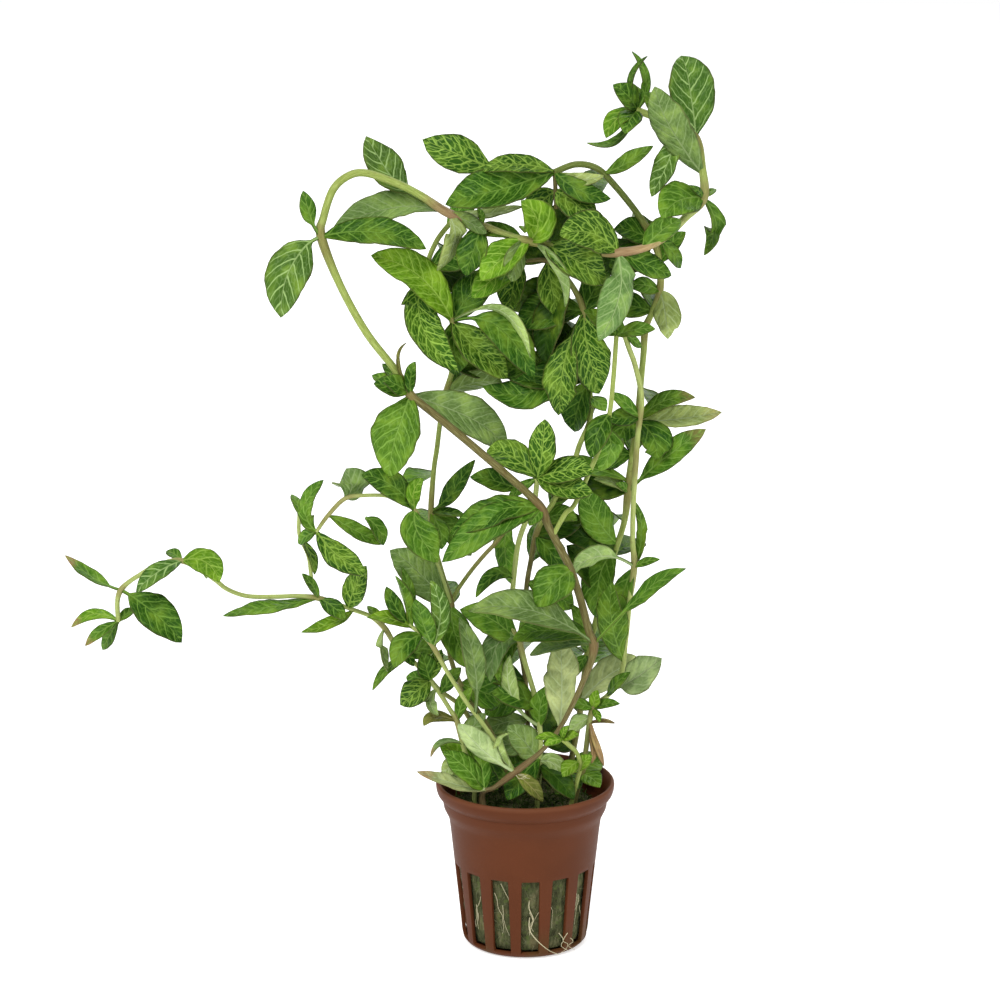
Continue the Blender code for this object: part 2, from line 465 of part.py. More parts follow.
RIGHT_GREEN_STEM = Plant(
    "right_green_stem",
    "leaf green",
    (11.0, 7.0),
    [
        Shoot(2.4, [
            (12.5, 50, 8), (16, 70, 10), (18, 88, 11), (20.5, 98, 12), (22.5, 108, 13),
            (25.5, 118, 13), (28.5, 128, 13), (29.5, 137, 12, 1.3), (30.6, 148, 12),
            (32.2, 158, 12, 1.25), (32.8, 168, 12), (33.6, 178, 11), (34, 185, 10, 1.2),
            (36, 190, 9), (38, 196, 8, 1.2), (38, 204, 7), (35.8, 211, 6, 1.2),
            (31.3, 218.3, 5), (25.3, 225.8, 3), (20, 231, 1), (14, 232.2, 0), (8, 230, -1),
        ]),
        Shoot(1.6, [(8, 230, -1), (8.2, 226, -1.5), (8.5, 219.5, -2)]),
    ],
    [
        # The end of the arch, at the top of the crown
        Leaf((8, 230, -1), (-28.3, 239.8, 4), 10, 18, via=(-10, 227, 6), stalk=0.5),
        Leaf((8, 230, -1), (-13, 230.7, -7), 5.4, 30, via=(-2.5, 235, -6)),
        Leaf((8, 230, -1), (-23.5, 222.2, -8), 10.4, 32, via=(-8.5, 225, -10)),
        Leaf((8, 230, -1), (23.9, 222.6, -8), 5.6, 30, via=(14, 224, -8)),
        Leaf((9, 229.8, -1), (21.8, 229.2, -5), 3.6, 30, via=(15, 226.3, -5)),
        Leaf((22, 229.6, 1.6), (35.3, 237.8, -3), 3.8, 45, via=(28.5, 231.5, -3)),
        Leaf((8.3, 224.5, -1.6), (19.5, 214.5, -9), 9, 24, via=(13.5, 222, -8)),
        Leaf((8.3, 224.5, -1.6), (1, 213, 2), 8, 28, via=(3, 222, 3)),
        # Down the right side
        Leaf((38, 196, 8), (29.5, 197.5, 2), 4, 40),
        Leaf((38, 196, 8), (40.3, 182, 4), 7.2, 148, via=(41, 191, 4)),
        Leaf((35.8, 211, 6), (25, 214, 4), 7, 32),
        Leaf((38, 204, 7), (45, 213, 5), 5, 32),
        Leaf((35.8, 211, 6), (23.5, 203, 0), 7, 30, via=(29, 206, 0)),
        Leaf((32.2, 158, 12), (48.5, 164.8, 8), 5.2, 35, via=(38.5, 165.3, 8)),
        Leaf((32.2, 158, 12), (56, 161, 15), 5.6, 42, via=(45, 157, 14)),
        Leaf((32.2, 158, 12), (37.5, 146.5, 5), 9, 25, via=(39, 153.5, 6)),
        Leaf((32.2, 158, 12), (26.5, 151, 7), 8, 25, via=(27.5, 158, 7)),
        Leaf((29.5, 137, 12), (51.5, 155.8, 6), 6.6, 30, via=(37.5, 147, 5), stalk=0.2),
        Leaf((29.8, 140, 12), (5, 145, 5), 4, 50, via=(18, 145.3, 6)),
        Leaf((29.5, 137, 12), (20, 141.2, 8), 2.8, 50),
        Leaf((29.5, 137, 12), (26.3, 139.5, 8), 2.2, 35),
        # Behind the main stem
        Leaf((26.5, 121.5, 13), (17.5, 138.3, 8), 9, 28, via=(18.5, 127, 7)),
        Leaf((26, 119.5, 13), (11, 124, 5), 8, 30, via=(18, 124.5, 6)),
        Leaf((26, 120, 13), (21, 99, 6), 9, 28, via=(19, 112, 6)),
        Leaf((22.5, 108, 13), (12, 121, 8), 8, 30),
        Leaf((18, 88, 11), (14.3, 103, 8), 4.5, 35),
        Leaf((16.5, 74, 10), (34, 86, 3), 8.5, 150, via=(26, 84, 3)),
        Leaf((18, 88, 11), (14.5, 81.5, 6), 3.4, 30),
        Leaf((14.3, 60, 9), (5.5, 61, 5), 7, 34),
        Leaf((12.8, 52, 8.5), (20.5, 50, 10), 5, 34),
        Leaf((20, 231, 1), (14, 226, 28), 9, 12, via=(17, 231, 16)),
        Leaf((35.8, 211, 6), (27, 206, 34), 9, 12, via=(33, 214, 22)),
        Leaf((28.5, 128, 13), (19, 123, 38), 9.5, 12, via=(24, 133, 27)),
        Leaf((18, 88, 11), (10, 84, 36), 9, 12, via=(14, 93, 25)),
    ],
)

SHORT_SHOOT = Plant(
    "short_bright_shoot",
    "pale leaf green",
    (13.0, -12.5),
    [
        Shoot(1.7, [
            (15.5, 50, -14), (16.3, 54, -15.5), (15, 58, -18), (13, 60, -21), (10.8, 62, -24),
        ]),
    ],
    [
        Leaf((10.8, 62, -24), (12.6, 66, -28), 2, 30),
        Leaf((10.8, 62, -24), (3, 62.6, -27), 2.2, 45),
        Leaf((10.8, 62, -24), (15.6, 63.4, -29), 2.6, 35),
        Leaf((10.8, 62, -24), (5.8, 60.3, -30), 2.4, 30),
        Leaf((15.7, 55, -16), (11, 50.6, -19), 4.4, 28),
        Leaf((16.2, 52.5, -15), (19.5, 57, -17), 3.4, 30),
    ],
)

PLANTS = (
    TALL_STEM,
    FORKED_STEM,
    TRAILING_STEM,
    LOW_LEFT_STEM,
    MIDDLE_STEM,
    DARK_STEM,
    RIGHT_PALE_STEM,
    RIGHT_GREEN_STEM,
    SHORT_SHOOT,
)

# Pale roots that come out of the slots, each as real (x, y, z) points in millimetres
ROOT_THICKNESS = 0.8
ROOTS = (
    ((1.4, -16.5, 14.0), (1.2, -20.6, 10.5), (3.5, -20.3, 6.8), (7.0, -18.9, 3.2), (9.8, -16.9, 1.2)),
    ((1.9, -16.5, 21.0), (1.0, -19.3, 17.0), (2.3, -19.0, 13.0), (1.3, -18.5, 9.0), (1.5, -16.0, 6.0)),
)


def metres(point):
    """The point (x, y, z) in millimetres as a vector in metres."""
    return Vector(point) * MM


def sighted(point):
    """The real place, in metres, of a point written as (across, up, depth) in millimetres."""
    across, up, depth = point[:3]
    nearness = 1 + depth / -EYE[1]
    return metres((
        EYE[0] + (across - EYE[0]) * nearness,
        depth,
        EYE[2] + (up - EYE[2]) * nearness,
    ))


def clear_scene():
    """Remove every object that the file holds."""
    for held in list(bpy.data.objects):
        bpy.data.objects.remove(held, do_unlink=True)


def new_collection(name):
    """A collection of this name in the scene."""
    made = bpy.data.collections.new(name)
    bpy.context.scene.collection.children.link(made)
    return made


def material(name):
    """The Principled material of this name, with its colour and roughness."""
    colour, roughness = COLOURS[name]
    made = bpy.data.materials.get(name)
    if made is None:
        made = bpy.data.materials.new(name)
        made.use_nodes = True
        shader = made.node_tree.nodes["Principled BSDF"]
        shader.inputs["Base Color"].default_value = (*colour, 1)
        shader.inputs["Roughness"].default_value = roughness
        shader.inputs["Metallic"].default_value = 0
    return made


def add_object(name, data, collection):
    """A new object that holds this mesh or curve."""
    made = bpy.data.objects.new(name, data)
    collection.objects.link(made)
    return made


def make_cutter(cutter):
    """Mark an object as one that only cuts others."""
    cutter.hide_render = True
    cutter.display_type = "WIRE"


def baked(shape, name):
    """The object's shape with its modifiers applied, as a new mesh with its doubles merged."""
    graph = bpy.context.evaluated_depsgraph_get()
    mesh = bpy.data.meshes.new_from_object(shape.evaluated_get(graph))
    mesh.name = name
    work = bmesh.new()
    work.from_mesh(mesh)
    bmesh.ops.remove_doubles(work, verts=work.verts, dist=SAME_POINT)
    work.to_mesh(mesh)
    work.free()
    return mesh


def tube(name, points, thickness, swellings, collection):
    """A closed six-sided tube along the points, as a mesh object."""
    curve = bpy.data.curves.new(f"{name}_line", "CURVE")
    curve.dimensions = "3D"
    curve.bevel_depth = thickness / 2 * MM
    curve.bevel_resolution = 1
    curve.use_fill_caps = True
    spline = curve.splines.new("POLY")
    spline.points.add(len(points) - 1)
    for place, point, swelling in zip(spline.points, points, swellings):
        place.co = (*point, 1)
        place.radius = swelling
    drawn = add_object(f"{name}_line", curve, collection)
    made = add_object(name, baked(drawn, name), collection)
    bpy.data.objects.remove(drawn, do_unlink=True)
    return made


def turned(name, profile, steps, collection):
    """A turned solid from (radius, height) points in millimetres that run down its outer side."""
    mesh = bpy.data.meshes.new(name)
    points = [metres((radius, 0, height)) for radius, height in profile]
    mesh.from_pydata(points, [(i, i + 1) for i in range(len(points) - 1)], [])
    made = add_object(name, mesh, collection)
    screw = made.modifiers.new("turn", "SCREW")
    screw.steps = steps
    screw.render_steps = steps
    screw.use_merge_vertices = True
    screw.merge_threshold = SAME_RING_POINT
    return made


def wall_radius(height):
    """The pot wall's outer radius at a height, between its corner and the step under the collar."""
    share = (height - CORNER_HEIGHT) / (STEP_LOW - CORNER_HEIGHT)
    return WALL_LOW_RADIUS + share * (WALL_TOP_RADIUS - WALL_LOW_RADIUS)


def build_pot(parts):
    """The net pot: a turned cup with a lip, cut by a ring of upright slots."""
    pot = turned("net_pot", [
        (0, WALL),
        (FOOT_RADIUS - WALL, WALL),
        (CORNER_RADIUS - WALL, CORNER_MIDDLE + GAP),
        (WALL_LOW_RADIUS - WALL, CORNER_HEIGHT),
        (WALL_TOP_RADIUS - WALL, STEP_LOW + STEP_THICKENING),
        (COLLAR_RADIUS - WALL, COLLAR_LOW + STEP_THICKENING),
        (RIM_RADIUS - LIP_WIDTH, POT_HEIGHT),
        (RIM_RADIUS - LIP_EDGE, POT_HEIGHT),
        (RIM_RADIUS, POT_HEIGHT - LIP_EDGE),
        (RIM_RADIUS - LIP_TAPER, POT_HEIGHT - LIP_HEIGHT),
        (COLLAR_RADIUS, POT_HEIGHT - LIP_HEIGHT),
        (COLLAR_RADIUS - COLLAR_TAPER, COLLAR_LOW),
        (WALL_TOP_RADIUS, STEP_LOW),
        (WALL_LOW_RADIUS, CORNER_HEIGHT),
        (CORNER_RADIUS, CORNER_MIDDLE - GAP),
        (FOOT_RADIUS, 0),
        (0, 0),
    ], POT_STEPS, parts)
    slots = new_collection("slot cutters")
    reach = SLOT_OUTER_RADIUS - SLOT_INNER_RADIUS
    middle = SLOT_INNER_RADIUS + reach / 2
    for index in range(SLOT_COUNT):
        angle = math.radians(FIRST_SLOT_DEG + index * 360 / SLOT_COUNT)
        bpy.ops.mesh.primitive_cube_add(size=1)
        cutter = bpy.context.object
        cutter.name = f"slot_{index + 1}"
        cutter.scale = metres((reach, SLOT_WIDTH, SLOT_HIGH - SLOT_LOW))
        cutter.location = metres((
            middle * math.cos(angle), middle * math.sin(angle), (SLOT_HIGH + SLOT_LOW) / 2))
        cutter.rotation_euler.z = angle
        for holder in cutter.users_collection:
            holder.objects.unlink(cutter)
        slots.objects.link(cutter)
        make_cutter(cutter)
    cut = pot.modifiers.new("slots", "BOOLEAN")
    cut.operation = "DIFFERENCE"
    cut.operand_type = "COLLECTION"
    cut.collection = slots
    pot.data.materials.append(material("terracotta plastic"))
    return pot


def foot_points(plant):
    """The two real points, in metres, where a stem stands in the plug: its end and its way out."""
    x, y = plant.foot
    return [metres((x, y, STEM_FOOT)), metres((x, y, STEM_OUT))]


def build_plug(parts):
    """The stone wool plug, with a plain hole for each stem and roots at its side."""
    clear = WALL + GAP
    plug = turned("stone_wool_plug", [
        (0, PLUG_TOP),
        (wall_radius(STEP_LOW) - clear - PLUG_EDGE, PLUG_TOP),
        (wall_radius(STEP_LOW) - clear, PLUG_TOP - PLUG_EDGE),
        (wall_radius(STEP_LOW) - clear, STEP_LOW),
        (WALL_LOW_RADIUS - clear, CORNER_HEIGHT),
        (CORNER_RADIUS - clear, CORNER_MIDDLE + 2 * GAP),
        (FOOT_RADIUS - clear, WALL + GAP),
        (0, WALL + GAP),
    ], PLUG_STEPS, parts)
    holes = new_collection("stem holes")
    for plant in PLANTS:
        shoot = plant.shoots[0]
        end, out = foot_points(plant)
        end.z -= GAP * MM
        way = [end, out, sighted(shoot.route[0]), sighted(shoot.route[1])]
        cutter = tube(f"{plant.name}_hole", way, shoot.thickness + 2 * HOLE_GAP, [1] * 4, holes)
        make_cutter(cutter)
    cut = plug.modifiers.new("stem holes", "BOOLEAN")
    cut.operation = "DIFFERENCE"
    cut.operand_type = "COLLECTION"
    cut.collection = holes
    roots = new_collection("roots")
    for index, route in enumerate(ROOTS):
        points = [metres(point) for point in route]
        tube(f"root_{index + 1}", points, ROOT_THICKNESS, [1] * len(points), roots)
    join(plug, roots)
    plug.data.materials.append(material("stone wool"))
    return plug


def rib_point(leaf, share):
    """The point of a leaf's rib at a share of its length, in metres, before it lifts."""
    start, tip = sighted(leaf.start), sighted(leaf.tip)
    if leaf.via is None:
        return start.lerp(tip, share)
    via = sighted(leaf.via)
    return start.lerp(via, share).lerp(via.lerp(tip, share), share)


def facing(leaf, share):
    """The way a leaf's upper face looks at a share of its length, and the way its side runs."""
    along = rib_point(leaf, min(share + RIB_STEP, 1)) - rib_point(leaf, max(share - RIB_STEP, 0))
    along.normalize()
    viewer = (metres(EYE) - rib_point(leaf, share)).normalized()
    viewer = (viewer - along * along.dot(viewer)).normalized()
    side = along.cross(viewer)
    upward = -side if side.z < 0 or (abs(side.z) < LEVEL and side.x < 0) else side
    angle = math.radians(leaf.turn)
    face = viewer * math.cos(angle) + upward * math.sin(angle)
    return face, along.cross(face)


def stitch(sheet, low, high):
    """Fill the strip between two rows of one to three points with triangles."""
    here, there = 0, 0
    low_end, high_end = len(low) - 1, len(high) - 1
    while here < low_end or there < high_end:
        level = (2 * there + 1) * low_end <= (2 * here + 1) * high_end
        if there < high_end and (here == low_end or level):
            sheet.faces.new((low[here], high[there], high[there + 1]))
            there += 1
        else:
            sheet.faces.new((low[here], high[there], low[here + 1]))
            here += 1


def build_blade(leaf, name, collection):
    """A leaf as a thin waved blade: an open sheet of a few rows, cut in triangles and thickened."""
    length = (sighted(leaf.tip) - sighted(leaf.start)).length
    width = leaf.width / abs(math.cos(math.radians(leaf.turn)))
    half_width = max(width, NARROWEST_BLADE) / 2 * MM
    if length < SHORT_BLADE * MM:
        stations = SHORT_STATIONS
    elif length < LONG_BLADE * MM:
        stations = MIDDLE_STATIONS
    else:
        stations = LONG_STATIONS
    sheet = bmesh.new()
    rows = []
    if leaf.stalk:
        stations = ((-leaf.stalk / (1 - leaf.stalk), 0.0), *stations)
    stalk_reach = min(STALK_HALF_WIDTH * MM, half_width)
    for index, (share, fullness) in enumerate(stations):
        shifted = leaf.stalk + share * (1 - leaf.stalk)
        face, side = facing(leaf, shifted)
        lift = face * length * BLADE_LIFT * math.sin(math.pi * shifted) * (leaf.via is None)
        rib = rib_point(leaf, shifted) + lift
        if share == 1:
            rows.append([rib])
        elif not fullness:
            rows.append([rib - side * stalk_reach, rib + side * stalk_reach])
        else:
            reach = half_width * fullness
            wave = half_width * BLADE_WAVE * (-1) ** index
            rows.append([
                rib - side * reach + face * (reach * BLADE_FOLD + wave),
                rib,
                rib + side * reach + face * (reach * BLADE_FOLD - wave),
            ])
    rows = [[sheet.verts.new(point) for point in row] for row in rows]
    for low, high in zip(rows, rows[1:]):
        stitch(sheet, low, high)
    mesh = bpy.data.meshes.new(f"{name}_sheet")
    sheet.to_mesh(mesh)
    sheet.free()
    open_sheet = add_object(f"{name}_sheet", mesh, collection)
    thick = open_sheet.modifiers.new("thickness", "SOLIDIFY")
    thick.thickness = BLADE_THICKNESS * MM
    thick.offset = 0
    made = add_object(name, baked(open_sheet, name), collection)
    bpy.data.objects.remove(open_sheet, do_unlink=True)
    return made


def join(base, collection):
    """Fuse every object of the collection into base, in one closed body, and remove them."""
    union = base.modifiers.new("join", "BOOLEAN")
    union.operation = "UNION"
    union.operand_type = "COLLECTION"
    union.collection = collection
    union.solver = "MANIFOLD"
    fused = baked(base, base.name)
    base.modifiers.clear()
    base.data = fused
    for joined in list(collection.objects):
        bpy.data.objects.remove(joined, do_unlink=True)
    bpy.data.collections.remove(collection)


def build_plant(plant, parts):
    """One leafy stem: its shoots and blades, fused in one solid."""
    pieces = new_collection(f"{plant.name} pieces")
    stem = None
    for index, shoot in enumerate(plant.shoots):
        points = [sighted(point) for point in shoot.route]
        swellings = [point[3] if len(point) > 3 else 1 for point in shoot.route]
        if index == 0:
            points = foot_points(plant) + points
            swellings = [1, 1] + swellings
            stem = tube(plant.name, points, shoot.thickness, swellings, parts)
        else:
            tube(f"{plant.name}_shoot_{index}", points, shoot.thickness, swellings, pieces)
    for index, leaf in enumerate(plant.leaves):
        build_blade(leaf, f"{plant.name}_leaf_{index + 1}", pieces)
    join(stem, pieces)
    stem.data.materials.append(material(plant.colour))
    return stem


def main():
    """Build each leafy stem, and then the pot and the plug with their cuts."""
    clear_scene()
    parts = new_collection("potted hygrophila")
    for plant in PLANTS:
        build_plant(plant, parts)
    build_plug(parts)
    build_pot(parts)


main()
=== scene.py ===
"""Looks of the potted hygrophila: its moulded net pot, stone wool, roots and leafy stems.

A point of a stem or leaf is written as (across, up, depth) in millimetres. Across and up are where
the point shows on the upright plane through the pot's axis, looked at from EYE, and depth is how
far it really lies behind that plane (minus is in front).
"""

import logging
import math
import random
import time
from collections.abc import Callable
from dataclasses import dataclass
from enum import Enum
from typing import Any, NamedTuple

import bmesh
import bpy
import numpy as np
from bpy.types import Material, Mesh, NodeSocket, NodeTree, Object
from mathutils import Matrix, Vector


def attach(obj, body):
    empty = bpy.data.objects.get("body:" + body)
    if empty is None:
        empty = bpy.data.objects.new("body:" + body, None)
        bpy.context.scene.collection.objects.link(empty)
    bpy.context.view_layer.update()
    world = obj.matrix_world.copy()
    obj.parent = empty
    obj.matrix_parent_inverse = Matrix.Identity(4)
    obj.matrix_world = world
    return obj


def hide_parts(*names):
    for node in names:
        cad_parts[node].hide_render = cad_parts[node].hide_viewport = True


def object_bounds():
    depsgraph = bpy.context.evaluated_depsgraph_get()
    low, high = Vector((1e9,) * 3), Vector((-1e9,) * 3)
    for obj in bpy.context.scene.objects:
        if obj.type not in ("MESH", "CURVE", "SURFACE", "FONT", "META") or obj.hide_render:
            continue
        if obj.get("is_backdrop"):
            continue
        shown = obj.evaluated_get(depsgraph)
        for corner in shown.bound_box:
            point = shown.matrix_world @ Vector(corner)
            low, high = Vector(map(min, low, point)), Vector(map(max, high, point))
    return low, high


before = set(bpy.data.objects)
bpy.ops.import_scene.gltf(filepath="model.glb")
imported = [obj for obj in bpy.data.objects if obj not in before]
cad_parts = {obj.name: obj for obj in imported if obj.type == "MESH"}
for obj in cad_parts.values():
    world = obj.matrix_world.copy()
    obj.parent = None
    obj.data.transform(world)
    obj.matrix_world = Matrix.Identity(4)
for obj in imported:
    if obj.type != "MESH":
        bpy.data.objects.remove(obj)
CAD_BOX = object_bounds()

# Red, green and blue, linear
Colour = tuple[float, float, float]

LOG = logging.getLogger("potted_hygrophila")
BODY = "root"
MM = 0.001
SEED = 7
WHITE = (1, 1, 1, 1)

# How near two points are joined, in metres
JOIN_IN_SHEET = 1e-7
JOIN_IN_BLADE = 2e-6
JOIN_SECTORS = 1e-5

# Where the plant is looked at from, in millimetres, with the camera's tilt and lens
EYE = (-7.4, -1000.0, 395.0)
CAMERA_TILT_DEG = 14.6
LENS = 128.95
SENSOR = 36.0

# Net pot, in millimetres
POT_HEIGHT = 49.5
RIM_RADIUS = 26.3
LIP_HEIGHT = 5.0
LIP_WIDTH = 1.9
COLLAR_RADIUS = 24.3
COLLAR_LOW = 42.0
COLLAR_TAPER = 0.2
STEP_LOW = 38.0
WALL_TOP_RADIUS = 22.3
WALL_LOW_RADIUS = 18.9
CORNER_HEIGHT = 6.0
CORNER_RADIUS = 18.35
CORNER_MIDDLE = 1.7
FOOT_RADIUS = 16.4
WALL = 1.1
SLOT_COUNT = 14
SLOT_WIDTH = 5.4
SLOT_LOW = 1.6
SLOT_HIGH = 25.0
FIRST_SLOT_DEG = -85.8

# Stone wool plug, in millimetres; a stem's line starts at STEM_FOOT and comes out at STEM_OUT
PLUG_TOP = 43.0
PLUG_EDGE = 1.5
STEM_FOOT = 33.0
STEM_OUT = 43.8
GAP = 0.3


class Tone(Enum):
    """The kinds of leaf colour that the plant shows."""

    VEINED = "mid green with clear pale side veins"
    NET = "deep green with a pale net of veins"
    DARK = "deep green with thin pale veins"
    # Painted shade: a deeper green than the leaves' own, for leaves deep among the others
    SHADE = "deep green without clear veins"
    MID = "fresh green"
    BRIGHT = "yellow green"
    GREY = "grey green"
    PALE = "pale grey green"
    CREAM = "cream green"
    OLIVE = "olive brown"
    DRIED = "tan, dried"


# The tones by their own names, for the tables
VEINED, NET, DARK, SHADE, MID, BRIGHT, GREY, PALE, CREAM, OLIVE, DRIED = Tone


@dataclass(frozen=True)
class LeafTone:
    """The colours of a leaf, each linear, and how strong its veins are.

    upper and under are the two faces, vein is the colour of the veins, side and net are how
    strongly the side veins and the net between them show.
    """

    upper: Colour
    under: Colour
    vein: Colour
    side: float
    net: float


LEAF_TONES = {
    VEINED: LeafTone((0.062, 0.145, 0.016), (0.25, 0.36, 0.15), (0.3, 0.44, 0.15), 1.0, 0.3),
    NET: LeafTone((0.031, 0.098, 0.005), (0.13, 0.24, 0.05), (0.25, 0.4, 0.06), 1.0, 0.95),
    DARK: LeafTone((0.026, 0.092, 0.004), (0.1, 0.2, 0.035), (0.15, 0.28, 0.04), 0.85, 0.5),
    # The SHADE colours are painted shade, as dark as leaves deep in the crown look
    SHADE: LeafTone((0.02, 0.062, 0.003), (0.08, 0.15, 0.03), (0.06, 0.13, 0.015), 0.5, 0.3),
    MID: LeafTone((0.068, 0.17, 0.01), (0.17, 0.29, 0.065), (0.2, 0.35, 0.06), 0.75, 0.45),
    BRIGHT: LeafTone((0.115, 0.26, 0.008), (0.27, 0.4, 0.11), (0.3, 0.47, 0.07), 0.8, 0.55),
    GREY: LeafTone((0.14, 0.225, 0.058), (0.26, 0.34, 0.165), (0.27, 0.37, 0.15), 0.65, 0.4),
    PALE: LeafTone((0.3, 0.4, 0.12), (0.37, 0.47, 0.2), (0.42, 0.52, 0.25), 0.6, 0.4),
    CREAM: LeafTone((0.34, 0.43, 0.18), (0.36, 0.45, 0.225), (0.41, 0.5, 0.26), 0.5, 0.25),
    OLIVE: LeafTone((0.13, 0.14, 0.025), (0.23, 0.21, 0.08), (0.25, 0.23, 0.08), 0.5, 0.3),
    DRIED: LeafTone((0.3, 0.2, 0.09), (0.34, 0.23, 0.12), (0.2, 0.12, 0.05), 0.5, 0.3),
}


class Tint(Enum):
    """The colours of the stems, linear."""

    RED = (0.12, 0.08, 0.034)
    BROWN = (0.125, 0.104, 0.03)
    OLIVE = (0.2, 0.19, 0.055)
    DEEP = (0.1, 0.14, 0.022)
    GREEN = (0.27, 0.34, 0.075)
    PALE = (0.36, 0.43, 0.13)
    PINK = (0.38, 0.26, 0.13)


class Leaf(NamedTuple):
    """One blade with its stalk.

    start, via and tip are (across, up, depth); via, where there is one, is what the rib bends
    round. width is as seen from the front. turn is the angle from the line of sight to the way that
    the upper face looks, tilted to the sky: past 90 degrees the blade shows its underside. stalk is
    the share of the length that is bare, and dry_tip how dried the end is, from 0 to 1.
    """

    start: tuple
    tip: tuple
    width: float
    turn: float
    tone: Tone
    via: tuple | None = None
    stalk: float = 0.0
    dry_tip: float = 0.0


class Shoot(NamedTuple):
    """A length of stem: its thickness, its tints and its route.

    Each tint is (index of the route's point, Tint), and each point (across, up, depth[, swelling]).
    """

    thickness: float
    tints: tuple
    route: list


class Plant(NamedTuple):
    """One leafy stem with its side shoots. foot is where it stands in the plug, as x and y."""

    name: str
    slot: str
    foot: tuple
    shoots: list
    leaves: list


